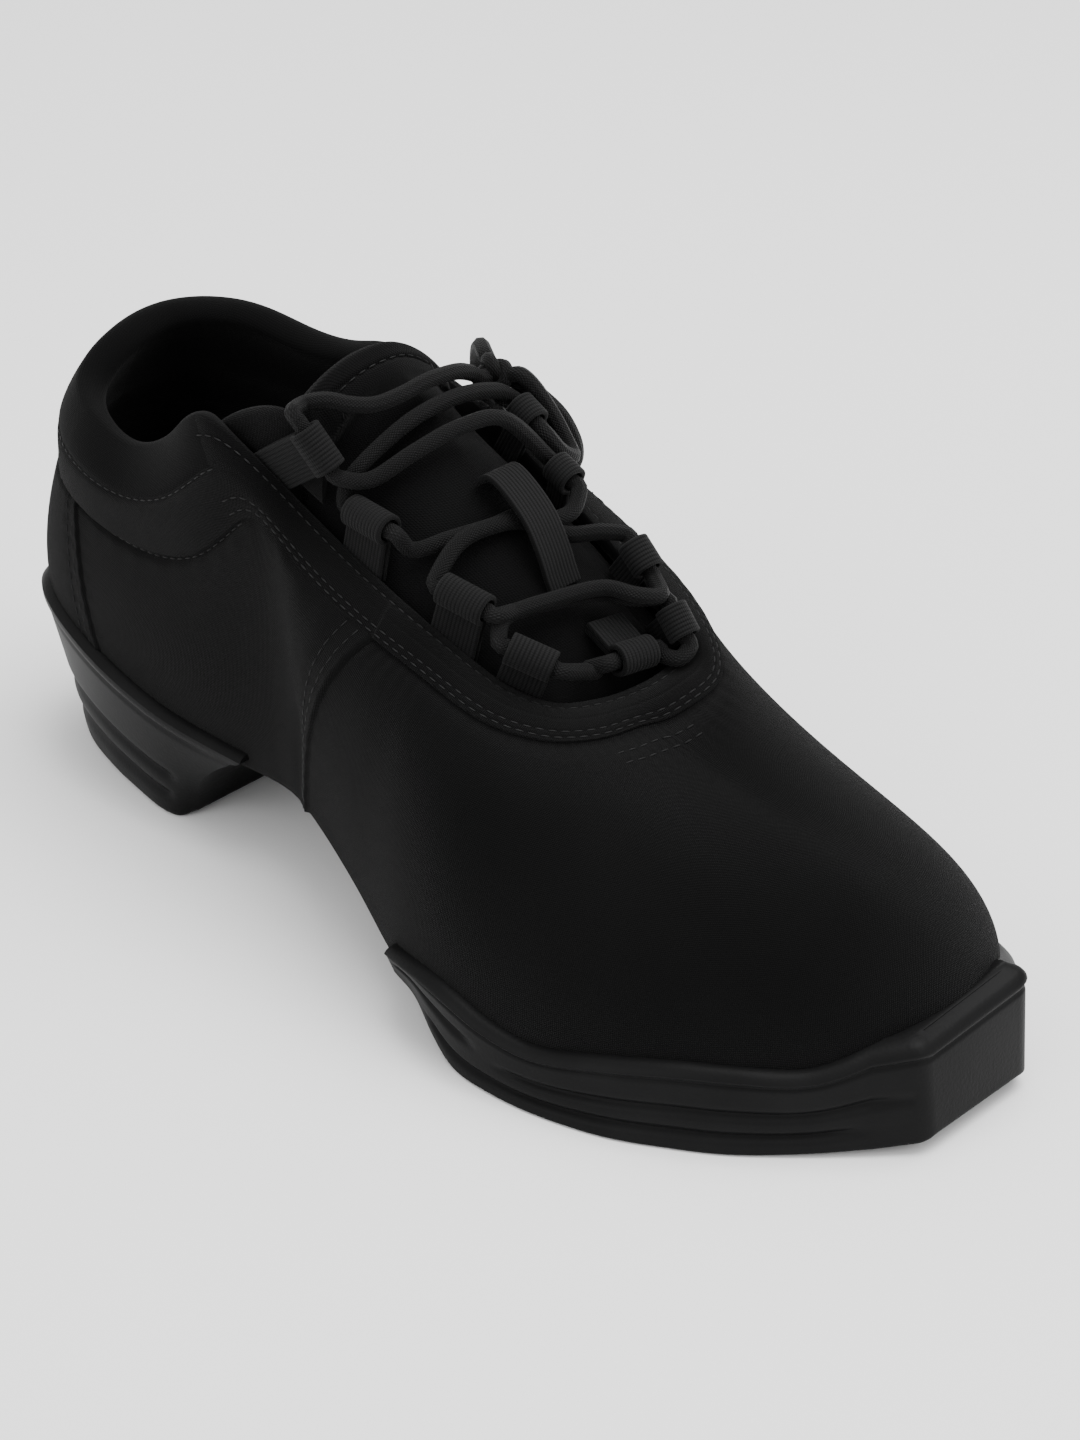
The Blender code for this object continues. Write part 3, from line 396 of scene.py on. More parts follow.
# %% Cloth, webbing, lace, thread and rubber
def cloth_material(name, dark, light, thread, depth, slant=0.0, sheen=0.036, rough=0.9):
    """Woven cloth: over and under threads of a width in mm; slant turns plain weave into twill."""
    material, tree, shader = new_material(name)
    u, v = split_uv(tree)
    turn = math.pi / thread
    warp = maths(tree, "MULTIPLY", maths(tree, "ADD", u, maths(tree, "MULTIPLY", v, slant)), turn)
    weft = maths(tree, "MULTIPLY", v, turn)
    waves = maths(tree, "MULTIPLY", maths(tree, "SINE", warp), maths(tree, "SINE", weft))
    over = maths(tree, "ABSOLUTE", waves)
    fuzz = noise(tree, 1800.0, 3.0)
    height = maths(tree, "ADD", over, maths(tree, "MULTIPLY", fuzz, 0.9))
    add_bump(tree, shader, height, depth)
    patches = noise(tree, 26.0)
    # Painted shade and highlight: the colour is darker in the hollows of the weave and lighter on its raised
    # threads, mixed with random patches of tone.
    painted_weave_shade_and_patches = maths(tree, "ADD", maths(tree, "MULTIPLY", over, 0.35), maths(tree, "MULTIPLY", patches, 0.75))
    tree.links.new(colour_between(tree, painted_weave_shade_and_patches, dark, light), shader.inputs["Base Color"])
    set_finish(shader, rough, 0.05, sheen)
    shader.inputs["Sheen Roughness"].default_value = 0.45
    return material


def webbing_material():
    """Ribbed webbing: ridges along its length, crossed by fine weft threads."""
    material, tree, shader = new_material("ribbed webbing")
    u, v = split_uv(tree)
    ribs = maths(tree, "ABSOLUTE", maths(tree, "SINE", maths(tree, "MULTIPLY", v, math.pi / 0.9)))
    weft = maths(tree, "ABSOLUTE", maths(tree, "SINE", maths(tree, "MULTIPLY", u, math.pi / 0.45)))
    height = maths(tree, "ADD", ribs, maths(tree, "MULTIPLY", weft, 0.35))
    add_bump(tree, shader, height, 0.22)
    # Painted shade and highlight: the colour is lighter on the ridges and darker in the hollows between them.
    tree.links.new(colour_between(tree, ribs, grey(0.0022), grey(0.006)), shader.inputs["Base Color"])
    set_finish(shader, 0.7, 0.08, 0.028)
    return material


def lace_material():
    """Braided lace: two sets of strands that wind round it, with a slight gloss."""
    material, tree, shader = new_material("braided lace")
    u, v = split_uv(tree)
    along = maths(tree, "MULTIPLY", u, math.pi / 0.8)
    round_it = maths(tree, "MULTIPLY", v, 16.0)
    left = maths(tree, "SINE", maths(tree, "ADD", along, round_it))
    right = maths(tree, "SINE", maths(tree, "SUBTRACT", along, round_it))
    braid = maths(tree, "ABSOLUTE", maths(tree, "MULTIPLY", left, right))
    add_bump(tree, shader, braid, 0.18)
    # Painted shade and highlight: the colour is lighter on the crests of the braid and darker in its hollows.
    tree.links.new(colour_between(tree, braid, grey(0.002), grey(0.0055)), shader.inputs["Base Color"])
    set_finish(shader, 0.55, 0.09, 0.022)
    return material


def thread_material():
    """Twisted sewing thread, a touch glossier than the cloth."""
    material, tree, shader = new_material("sewing thread")
    twist = noise(tree, 2500.0, 2.0)
    add_bump(tree, shader, twist, 0.05)
    # Painted shade and highlight: the colour follows the thread's relief, lighter on its lumps and darker in
    # its hollows.
    tree.links.new(colour_between(tree, twist, grey(0.003), grey(0.007)), shader.inputs["Base Color"])
    set_finish(shader, 0.5, 0.2)
    return material


def rubber_material(name, dark, light, rough, tread=False):
    """Moulded rubber with a fine grain; the tread has fine bars across it in its relief."""
    material, tree, shader = new_material(name)
    grain = noise(tree, 1400.0, 5.0)
    height = grain
    if tread:
        place = tree.nodes.new("ShaderNodeTexCoord")
        split = tree.nodes.new("ShaderNodeSeparateXYZ")
        tree.links.new(place.outputs["Object"], split.inputs[0])
        lines = maths(tree, "SINE", maths(tree, "MULTIPLY", split.outputs[0], math.pi / (3.0 * MM)))
        bars = maths(tree, "MULTIPLY", maths(tree, "GREATER_THAN", lines, 0.2), 8.0)
        height = maths(tree, "ADD", bars, grain)
    add_bump(tree, shader, height, 0.06)
    wear = noise(tree, 60.0, 6.0)
    tree.links.new(colour_between(tree, wear, dark, light), shader.inputs["Base Color"])
    set_finish(shader, rough, 0.07)
    return material


CANVAS = cloth_material("black canvas", grey(0.0012), grey(0.0030), 0.42, 0.14)
BAND = cloth_material("band canvas", grey(0.0010), grey(0.0027), 0.42, 0.14)
TWILL = cloth_material("tongue twill", grey(0.0022), grey(0.0045), 0.55, 0.12, slant=0.8)
LINING = cloth_material("lining", grey(0.0012), grey(0.0022), 0.6, 0.06, sheen=0.03)
WEBBING = webbing_material()
LACE = lace_material()
THREAD = thread_material()
RUBBER = rubber_material("black rubber", grey(0.0042), grey(0.0065), 0.46)
TREAD = rubber_material("tread rubber", grey(0.004), grey(0.006), 0.6, tread=True)
print("materials", len(bpy.data.materials))


# %% [markdown]
# ## Meshes from grids
# The upper, tongue, insole, lace and webbing are all grids of points, so one function makes the
# mesh, its UV map in millimetres and its material slots. It could use Blender's UV unwrap, but a map
# measured along the grid keeps the weave at its true size.

# %% One mesh from points, faces and UVs
def make_piece(name, points, faces, uv, materials, slots=None, smooth=40.0):
    """A piece from points in mm; uv gives each face corner's place on the cloth, in mm."""
    mesh = bpy.data.meshes.new(name)
    mesh.from_pydata(to_scene(points).tolist(), [], [tuple(int(i) for i in face) for face in faces])
    for material in materials:
        mesh.materials.append(material)
    if slots is not None:
        mesh.polygons.foreach_set("material_index", np.asarray(slots, np.int32))
    if uv is not None:
        layer = mesh.uv_layers.new(name="cloth")
        layer.data.foreach_set("uv", np.asarray(uv, np.float32).ravel())
    mesh.shade_smooth()
    mesh.set_sharp_from_angle(angle=math.radians(smooth))
    item = bpy.data.objects.new(name, mesh)
    bpy.context.scene.collection.objects.link(item)
    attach(item, "root")
    return item


def grid_faces(columns, rows, close_columns=True, close_rows=False):
    """Quads of a grid whose points are numbered row after row within each column."""
    across = columns if close_columns else columns - 1
    down = rows if close_rows else rows - 1
    i, j = np.meshgrid(np.arange(across), np.arange(down), indexing="ij")
    after, below = (i + 1) % columns, (j + 1) % rows
    quads = np.stack((i * rows + j, after * rows + j, after * rows + below, i * rows + below), -1)
    return quads.reshape(-1, 4)


def end_caps(columns, rows):
    """One face over each end of a sleeve-like grid."""
    last = (columns - 1) * rows
    return [tuple(range(rows)), tuple(last + k for k in reversed(range(rows)))]


def rungs(count, rows):
    """Faces that close the first and last row of a ring of columns, rung by rung across it."""
    faces = []
    for row, flip in ((0, True), (rows - 1, False)):
        ring = [index * rows + row for index in range(count)]
        for index in range(count // 2):
            partner, after = ring[(count - index) % count], ring[(count - index - 1) % count]
            rung = tuple(dict.fromkeys((ring[index], ring[index + 1], after, partner)))
            faces.append(tuple(reversed(rung)) if flip else rung)
    return faces


def grid_uv(grid, close_columns=True, close_rows=False):
    """UVs in mm for the corners of a grid's quads, measured along its rows and columns."""
    across = np.linalg.norm(np.roll(grid, -1, 0) - grid, axis=2)
    down = np.linalg.norm(np.roll(grid, -1, 1) - grid, axis=2)
    u = np.vstack((np.zeros((1, grid.shape[1])), np.cumsum(across, 0)))
    v = np.hstack((np.zeros((grid.shape[0], 1)), np.cumsum(down, 1)))
    columns = grid.shape[0] if close_columns else grid.shape[0] - 1
    rows = grid.shape[1] if close_rows else grid.shape[1] - 1
    i, j = np.meshgrid(np.arange(columns), np.arange(rows), indexing="ij")
    after, below = (i + 1) % grid.shape[0], (j + 1) % grid.shape[1]
    corners = (np.stack((u[i, j], v[i, j]), -1), np.stack((u[i + 1, j], v[after, j]), -1),
               np.stack((u[i + 1, below], v[after, j + 1]), -1), np.stack((u[i, below], v[i, j + 1]), -1))
    return np.stack(corners, 2).reshape(-1, 4, 2)


# %% [markdown]
# ## The upper
# One closed surface: the outside goes from the turned-in margin up to the topline, rolls over it and
# comes down inside as the lining. Round the collar the wall is a soft pad 5 to 7 mm thick, elsewhere
# it is 2 to 3 mm of canvas and lining. Solidify could give one thickness all over, but the padding
# changes along the topline, so both sides are built. The rows stand closer where one layer ends.

# %% The outside, the rolled topline and the lining
WALL = 2.0
COLUMN_STEP = 1 / 12
ROLL_STEPS = 9
ROLL_HEIGHT = 0.6       # height of the rolled edge, as a share of half the wall
PAD_START = 0.97        # level where the collar's padding begins
PAD_REACH = 0.4
PADDING = 14            # column of the rib table


def upper_columns():
    """Columns round the shoe, with more of them where a seam's step is."""
    half = list(np.arange(0, TOE_TIP + 1e-6, COLUMN_STEP))
    for seam in (WAIST_SEAM, COUNTER_SEAM):
        half += [seam[0] + shift for shift in (-0.05, -0.03, -0.01, 0.01, 0.03, 0.05)]
    half = sorted(set(np.round(half, 4)))
    return np.array(half + [RIB_COUNT - column for column in reversed(half[1:-1])])


COLUMNS = upper_columns()
OUTER_LEVELS = np.concatenate((np.linspace(-1, -0.1, 7), np.linspace(0, 0.96, 44),
                               (0.975, 0.985, 0.992, 1.0, 1.004, 1.012, 1.03), np.linspace(1.06, 2.0, 30)))
INNER_LEVELS = np.concatenate((np.linspace(2.0, 1.1, 12), np.linspace(1.0, 0.0, 16), (-0.4, -1.0)))


def wall_thickness(column, level):
    """Canvas and lining, plus the padding of the collar."""
    pad = rib_rows(lean_with_seams(column, level))[..., PADDING]
    return WALL + (pad - WALL) * np.clip((level - PAD_START) / PAD_REACH, 0, 1)


def build_upper():
    """The outside, the roll over the topline and the lining, as one closed grid."""
    column, level = COLUMNS[:, None], OUTER_LEVELS[None, :]
    outside = on_upper(column, level)
    inner_level = INNER_LEVELS[None, :]
    rib = lean_with_seams(column, inner_level)
    depth = wall_thickness(column, inner_level)[..., None]
    inside = last_points(rib, inner_level) - last_normals(rib, inner_level) * depth
    top_out, top_in = outside[:, -1], inside[:, 0]
    centre, half = (top_out + top_in) / 2, (top_out - top_in) / 2
    rise = unit(outside[:, -1] - outside[:, -4]) * np.linalg.norm(half, axis=1, keepdims=True) * ROLL_HEIGHT
    angles = np.linspace(0, math.pi, ROLL_STEPS + 2)[1:-1]
    roll = np.stack([centre + half * math.cos(a) + rise * math.sin(a) for a in angles], 1)
    grid = np.concatenate((outside, roll, inside), 1)
    faces = grid_faces(*grid.shape[:2], close_rows=True)
    uv = grid_uv(grid, close_rows=True)
    levels = np.concatenate((OUTER_LEVELS, np.full(ROLL_STEPS + len(INNER_LEVELS), 3.0)))[None, :]
    near = near_side(COLUMNS)[:, None]
    lined = (levels > 2.0) | ((levels > TOPLINE_ROW) & (near < COLLAR_END))
    kind = np.where(lined, 2, np.where(levels >= 1.0, 1, 0))
    upper = make_piece("upper_canvas", grid.reshape(-1, 3), faces, uv, (CANVAS, BAND, LINING), kind.ravel())
    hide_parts("upper")
    return upper


upper_piece = build_upper()
print("upper", len(upper_piece.data.polygons), "quads")

# %% [markdown]
# ## The arch
# Between the two soles the cloth closes the arch. It is a panel sewn to both margins. It could be
# cut from the upper's own grid, but straight rows from margin to margin are simpler and lie flat.

# %% The panel under the arch
ARCH_RIBS = (3.2, 8.8)
ARCH_LEVEL = -0.7       # where it is sewn to the margin
ARCH_ALONG = 50
ARCH_ACROSS = 14
ARCH_SAG = 2.6
ARCH_THICKNESS = 1.6
ARCH_OUT = 0.25         # how far it stands off the margin


def build_arch():
    """A thin panel between the two margins, which sags a little."""
    ribs = np.linspace(*ARCH_RIBS, ARCH_ALONG)
    outer_edge, inner_edge = (last_points(side, ARCH_LEVEL) + last_normals(side, ARCH_LEVEL) * ARCH_OUT
                              for side in (ribs, RIB_COUNT - ribs))
    share = np.linspace(0, 1, ARCH_ACROSS)[None, :, None]
    panel = outer_edge[:, None] * (1 - share) + inner_edge[:, None] * share
    panel[..., 2] -= ARCH_SAG * np.sin(math.pi * share[..., 0])
    above = panel + (0.0, 0.0, ARCH_THICKNESS)
    grid = np.concatenate((panel, above[:, ::-1]), 1)
    faces = grid_faces(*grid.shape[:2], close_columns=False, close_rows=True)
    uv = grid_uv(grid, close_columns=False, close_rows=True)
    mesh_faces = [tuple(reversed(face)) for face in faces.tolist()] + end_caps(*grid.shape[:2])
    corner_uv = np.concatenate((uv[:, ::-1].reshape(-1, 2), np.zeros((2 * grid.shape[1], 2))))
    arch = make_piece("arch_panel", grid.reshape(-1, 3), mesh_faces, corner_uv, (CANVAS,))
    return arch


arch_piece = build_arch()
print("arch panel", len(arch_piece.data.polygons), "faces")

# %% [markdown]
# ## Rubber soles
# The two soles are mouldings that taper up into a thin rim, with a bead along its edge and long
# grooves in the side. Each is lofted through a few cross-sections and cut by the form of the upper,
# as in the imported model, with many more steps and with rounded edges.

# %% Sections of the soles
RIM_THICKNESS = 2.7
BEAD = 0.35
RIM_LIP = ((0.35, 0.5), (0.9, 0.95), (1.7, 1.3), (4.2, 1.7))     # back from the rim's edge and up, mm
FOREFOOT_ROWS = (
    # ground x, y, z     rib, z          ground x, y, z     rib, z          bow, hollow
    (150, -48.4, 11.0,  8.10, 16.5,     157, 43.0, 11.0,   18.00, 16.5,    0.0, 0.0),
    (155, -47.8, 7.0,   8.45, 17.9,     164, 43.8, 7.0,    17.75, 17.5,    0.3, 0.0),
    (163, -50.8, 2.5,   8.75, 18.2,     172, 45.8, 2.5,    17.45, 17.0,    0.3, 0.0),
    (171, -53.4, 0.0,   9.00, 17.0,     180, 46.8, 0.0,    17.15, 16.0,    0.3, 0.0),
    (180, -54.5, 0.0,   9.30, 14.2,     190, 46.8, 0.0,    16.75, 14.6,    0.2, 0.0),
    (193, -53.5, 0.0,   9.66, 12.4,     202, 45.8, 0.0,    16.30, 14.0,    0.2, 0.0),
    (208, -49.5, 0.0,   10.15, 14.6,    214, 43.6, 0.0,    15.85, 15.0,    0.2, 0.0),
    (220, -43.3, 0.0,   10.65, 16.4,    226, 40.4, 0.0,    15.40, 16.0,    0.2, 0.0),
    (230, -36.8, 0.0,   11.10, 16.7,    238, 36.0, 0.0,    14.95, 17.5,    0.2, 0.0),
    (241, -27.2, 0.6,   11.65, 16.8,    248, 30.0, 0.6,    14.50, 20.0,    0.2, 0.0),
    (250.5, -18, 1.6,   12.15, 20.5,    254.5, 24, 1.6,    14.00, 24.0,    0.2, 0.0),
)
TOE_FACE = np.array(((258, -10, 2.8), (254.8, -9.5, 23.0), (258.4, 22.0, 2.8), (256.8, 22.0, 27.0)))
TOE_CORNERS = (2.6, 3.6)     # how far the toe block's outer and inner upright edges are rounded, mm
TOE_TURN_ROWS = 7
TOE_TURN_LIFT = 0.7          # the rounded edge lifts off the ground and dips at the rim, mm
TOE_TURN_DIP = 0.9
HEEL_ROWS = (
    (8.1, -0.3, 0.0,    0.02, 39.5,     8.1, 0.3, 0.0,     25.98, 39.5,    0.0, 0.0),
    (8.5, -6, 0.0,      0.30, 39.5,     8.5, 6, 0.0,       25.70, 39.5,    0.0, 0.0),
    (11, -13.5, 0.0,    0.75, 40.3,     11, 13.5, 0.0,     25.25, 40.3,    0.2, 0.0),
    (20, -19.8, 0.0,    1.30, 40.8,     20, 19.8, 0.0,     24.70, 40.8,    0.2, 0.0),
    (33, -24.4, 0.0,    1.95, 38.3,     33, 24.4, 0.0,     24.05, 38.5,    0.2, 0.0),
    (45, -27.2, 0.0,    2.65, 33.9,     45, 27.2, 0.0,     23.35, 34.3,    0.2, 0.0),
    (54, -28.8, 0.0,    3.30, 29.8,     54, 28.8, 0.0,     22.70, 31.0,    0.2, 0.0),
    (59.5, -28, 0.0,    3.85, 28.2,     59.5, 28, 0.0,     22.15, 29.3,    0.4, 2.5),
    (62, -24, 0.8,      4.40, 27.6,     62, 24, 0.8,       21.60, 28.6,    0.4, 5.0),
)
FOREFOOT_GROOVES = (
    # share of the height, half width, depth in mm, first and last row
    (0.24, 0.055, 1.2, 2.0, 9.6), (0.52, 0.055, 1.1, 4.6, 10.2), (0.62, 0.06, 1.1, 0.6, 3.4))
HEEL_GROOVES = ((0.22, 0.045, 1.3, 1.0, 6.4), (0.42, 0.045, 1.3, 1.0, 6.4))
GROUND_EDGE = (0.9, 0.05)            # how far the edge on the ground is rounded, mm and share of the height
TREAD_TURN = -0.97                   # a face that looks down this squarely is tread,
TREAD_TOP = 0.004                    # where it lies lower than this, m
ROW_STEPS = 7
WALL_SHARES = np.linspace(0, 1, 56)


def curve_between(a, b, c, d, u):
    """The smooth curve from b to c, which heads for their neighbours a and d."""
    bend, swing = 2 * a - 5 * b + 4 * c - d, 3 * b - a - 3 * c + d
    return 0.5 * (2 * b + (c - a) * u + bend * u**2 + swing * u**3)


def between_rows(rows, steps):
    """Rows a share of a step apart along the smooth curve through the table, with their places."""
    rows = np.array(rows, float)
    route = np.vstack((2 * rows[0] - rows[1], rows, 2 * rows[-1] - rows[-2]))
    places = np.linspace(0, len(rows) - 1, (len(rows) - 1) * steps + 1)
    first = np.minimum(places.astype(int), len(rows) - 2)
    around = (route[first + k] for k in range(4))
    return curve_between(*around, (places - first)[:, None]), places


def rim_points(rib, height):
    """Outer edge of the rim, and its outward direction, where the upper reaches a height."""
    low, high = np.zeros_like(rib), np.full_like(rib, 0.8)
    for _ in range(30):
        level = (low + high) / 2
        under = last_points(rib, level)[:, 2] < height
        low, high = np.where(under, level, low), np.where(under, high, level)
    outward = unit(last_normals(rib, level) * (1, 1, 0))
    points = last_points(rib, level) + outward * RIM_THICKNESS
    points[:, 2] = height
    return points, outward


def side_wall(low, high, outward, bow, hollow, places, grooves, side):
    """One side's wall of every section, from the ground to just inside the rim."""
    along = unit(np.gradient(low, axis=0) * (1, 1, 0))
    inward = np.stack((-along[:, 1], along[:, 0], np.zeros(len(low))), 1) * side
    wall = []
    for share in WALL_SHARES:
        arch = 4 * share * (1 - share)
        depth = bow * arch
        for middle, half, amount, first, last in grooves:
            fade = ease(places, first - 0.5, first + 0.3) * (1 - ease(places, last - 0.3, last + 0.5))
            depth = depth + amount * fade * groove(share, middle, half)
        depth = depth + BEAD * (1.2 * groove(share, 0.90, 0.022) - groove(share, 0.965, 0.03))
        depth = depth + GROUND_EDGE[0] * max(0.0, 1 - share / GROUND_EDGE[1])**2
        point = low + (high - low) * share + inward * depth[:, None]
        point[:, 0] -= hollow * arch
        wall.append(point)
    up = np.array((0.0, 0.0, 1.0))
    for back, lift in RIM_LIP:
        wall.append(high - outward * back + up * lift)
    return np.stack(wall, 1)


def round_toe(ground, rim, other_ground, other_rim, outward, corner):
    """Adds the rows that turn from the side of the toe block on to its flat face."""
    rows_low, rows_high, rows_out = [ground[:-1]], [rim[:-1]], [outward[:-1]]
    face_low, face_high, other_low, other_high = ground[-1], rim[-1], other_ground[-1], other_rim[-1]
    start_low = face_low - unit(face_low - ground[-2]) * corner
    start_high = face_high - unit(face_high - rim[-2]) * corner
    end_low = face_low + unit(other_low - face_low) * corner
    end_high = face_high + unit(other_high - face_high) * corner
    for u in np.linspace(0, 1, TOE_TURN_ROWS):
        low = (1 - u)**2 * start_low + 2 * u * (1 - u) * face_low + u**2 * end_low
        high = (1 - u)**2 * start_high + 2 * u * (1 - u) * face_high + u**2 * end_high
        turned = 1 - math.cos(u * math.pi / 2)
        rows_low.append((low + (0, 0, TOE_TURN_LIFT * turned))[None])
        rows_high.append((high - (0, 0, TOE_TURN_DIP * turned))[None])
        rows_out.append(outward[-1:])
    return np.vstack(rows_low), np.vstack(rows_high), np.vstack(rows_out)


def build_sole_block(name, rows, grooves, face=None):
    """The whole moulding before the foot's form is cut out of it."""
    dense, places = between_rows(rows, ROW_STEPS)
    ground_a, ground_b = dense[:, 0:3], dense[:, 5:8]
    rim_a, out_a = rim_points(dense[:, 3], dense[:, 4])
    rim_b, out_b = rim_points(dense[:, 8], dense[:, 9])
    bow, hollow = dense[:, 10], dense[:, 11]
    if face is not None:
        ground_a, rim_a = np.vstack((ground_a, face[0])), np.vstack((rim_a, face[1]))
        ground_b, rim_b = np.vstack((ground_b, face[2])), np.vstack((rim_b, face[3]))
        out_a, out_b = np.vstack((out_a, out_a[-1:])), np.vstack((out_b, out_b[-1:]))
        turned_a = round_toe(ground_a, rim_a, ground_b, rim_b, out_a, TOE_CORNERS[0])
        turned_b = round_toe(ground_b, rim_b, ground_a, rim_a, out_b, TOE_CORNERS[1])
        (ground_a, rim_a, out_a), (ground_b, rim_b, out_b) = turned_a, turned_b
        extra = len(ground_a) - len(places)
        places = np.concatenate((places, places[-1] + np.linspace(0.5, 1.5, extra)))
        bow, hollow = np.pad(bow, (0, extra)), np.pad(hollow, (0, extra))
    wall_a = side_wall(ground_a, rim_a, out_a, bow, hollow, places, grooves, 1)
    wall_b = side_wall(ground_b, rim_b, out_b, bow, hollow, places, grooves, -1)
    grid = np.concatenate((wall_a[:, ::-1], wall_b), 1)
    ring = grid.shape[1]
    faces = grid_faces(len(grid), ring, close_columns=False, close_rows=True).tolist()
    half = ring // 2
    last = (len(grid) - 1) * ring
    for k in range(half - 1):
        strip = (half - 1 - k, half + k, half + k + 1, half - 2 - k)
        faces.append(strip)
        faces.append(tuple(last + index for index in reversed(strip)))
    return make_piece(name, grid.reshape(-1, 3), faces, None, (RUBBER, TREAD))


print("sections", len(between_rows(FOREFOOT_ROWS, ROW_STEPS)[0]))

# %% The form of the foot, and the cut
FORM_COLUMNS = np.arange(0, RIB_COUNT, 1 / 8)
FORM_LEVELS = np.concatenate(((-1.0, -0.6, -0.3), np.linspace(0, 0.74, 16)))


def build_form():
    """A closed solid of the upper's outside, three quarters of the way up its wall."""
    grid = on_upper(FORM_COLUMNS[:, None], FORM_LEVELS[None, :])
    count, rows = grid.shape[:2]
    faces = grid_faces(count, rows).tolist() + rungs(count, rows)
    return make_piece("form", grid.reshape(-1, 3), faces, None, (LINING,))


def outward_faces(item):
    """Closes the seams of a piece and turns all its faces outwards."""
    work = bmesh.new()
    work.from_mesh(item.data)
    bmesh.ops.remove_doubles(work, verts=work.verts, dist=0.02 * MM)
    bmesh.ops.recalc_face_normals(work, faces=work.faces)
    work.to_mesh(item.data)
    work.free()


def cut_and_finish(block, cutter, node):
    """Cuts the form out of a block, and gives the faces on the ground the tread's material."""
    for item in (block, cutter):
        outward_faces(item)
    cut = block.modifiers.new("cut", "BOOLEAN")
    cut.operation = "DIFFERENCE"
    cut.solver = "EXACT"
    cut.object = cutter
    view = bpy.context.evaluated_depsgraph_get()
    mesh = bpy.data.meshes.new_from_object(block.evaluated_get(view))
    block.modifiers.clear()
    block.data = mesh
    mesh.materials.clear()
    mesh.materials.append(RUBBER)
    mesh.materials.append(TREAD)
    for face in mesh.polygons:
        face.material_index = 1 if face.normal.z < TREAD_TURN and face.center.z < TREAD_TOP else 0
    mesh.shade_smooth()
    mesh.set_sharp_from_angle(angle=math.radians(35))
    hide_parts(node)


form = build_form()
forefoot_piece = build_sole_block("forefoot_rubber", FOREFOOT_ROWS, FOREFOOT_GROOVES, TOE_FACE)
heel_piece = build_sole_block("heel_rubber", HEEL_ROWS, HEEL_GROOVES)
cut_and_finish(forefoot_piece, form, "forefoot_sole")
cut_and_finish(heel_piece, form, "heel_sole")
bpy.data.objects.remove(form, do_unlink=True)
print("soles", len(forefoot_piece.data.polygons), len(heel_piece.data.polygons), "faces")

# %% [markdown]
# ## Insole
# A thin sock of foam and cloth that lies on the margin inside the shoe. It shows only through the
# collar, so its edge is a plain rounded step. A flat outline could be filled instead, but rings taken
# from the last follow the margin's rise at heel and toe.

# %% The sock
INSOLE_RINGS = (
    # level and clearance of each ring of its rounded edge, from below to the top
    (-0.9, 1.1), (-0.5, 0.8), (-0.15, 1.2), (-0.17, 2.4), (-0.2, 3.2))
INSOLE_SHARES = (0.25, 0.5, 0.75, 0.97)     # rows of its flat top, from the edge to the middle


def build_insole():
    """A flat sock that follows the margin."""
    columns = np.arange(0, RIB_COUNT, 1 / 6)
    rings = [last_points(columns, level) - last_normals(columns, level) * (WALL + lift)
             for level, lift in INSOLE_RINGS]
    count = len(columns)
    partner = (count - np.arange(count)) % count
    edge = rings[-1]
    middle = (edge + edge[partner]) / 2
    rings += [edge * (1 - share) + middle * share for share in INSOLE_SHARES]
    grid = np.stack(rings, 1)
    rows = grid.shape[1]
    faces = grid_faces(count, rows).tolist() + rungs(count, rows)
    places = grid.reshape(-1, 3)
    uv = np.array([places[index][:2] for face in faces for index in face])
    sock = make_piece("insole_sock", places, faces, uv, (LINING,))
    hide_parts("insole")
    return sock


insole_piece = build_insole()
print("insole", len(insole_piece.data.polygons), "faces")

# %% [markdown]
# ## Tongue
# The tongue is a padded twill panel with a bound edge. It arches under the throat, and its tip
# stands free above the laces. Its thickness swells from a thin edge to the middle, as foam does
# between two layers that are sewn together, and a groove marks the binding. A cloth simulation could
# inflate it, but a formula gives the same tongue each run.

# %% The padded tongue
TONGUE_THROAT = (
    # rib   level of edge   crest x, z       clearance
    (11.6,  0.93,           176, 52.4,       0.5),
    (11.2,  1.3,            168, 56.4,       0.8),
    (10.0,  1.5,            160, 63.6,       2.2),
    (9.0,   1.6,            155, 69.8,       2.4),
    (8.0,   1.6,            141, 82.3,       1.7),
    (7.0,   1.6,            124, 95.6,       1.7),
    (6.1,   1.9,            107, 108.8,      3.0),
)
TONGUE_FREE = (
    # outer x, y, z         crest x, y, z       inner x, y, z
    (98.0, -16.2, 99.0,     101.5, 3.5, 113.2,  101, 19.5, 102.0),
    (95.0, -18.0, 105.5,    98.5, 3.0, 115.6,   98.5, 20.5, 104.5),
    (93.0, -16.5, 110.5,    96.0, 2.0, 118.2,   97.0, 18.5, 108.0),
)
TONGUE_CREST_Y = 4.0
TONGUE_THICKNESS = 3.5
EDGE_ROUND = 1.6        # how far in from its edge the tongue is rounded
BINDING_WIDTH = 4.5
BINDING_STEP = 0.35     # how far the binding stands proud, and the depth of the groove beside it
BINDING_DRAW = 0.45
EDGE_TUCK = 0.38        # levels past the table's edge, which tuck the tongue under the eyestay
EDGE_TOP = 1.98
TONGUE_ACROSS = 41
TONGUE_STEPS = 9


def tongue_ends():
    """Outer edge, crest and inner edge of each row, from the toe end to the tip."""
    rows = []
    for rib, level, crest_x, crest_z, clearance in TONGUE_THROAT:
        edge = min(level + EDGE_TUCK, EDGE_TOP)
        drop = -(WALL + EYESTAY_STEP + clearance)
        outer, inner = (last_points(side, edge) + last_normals(side, edge) * drop
                        for side in (rib, RIB_COUNT - rib))
        rows.append(np.concatenate((outer, (crest_x, TONGUE_CREST_Y, crest_z), inner)))
    rows += [np.array(row, float) for row in TONGUE_FREE]
    return np.array(rows)


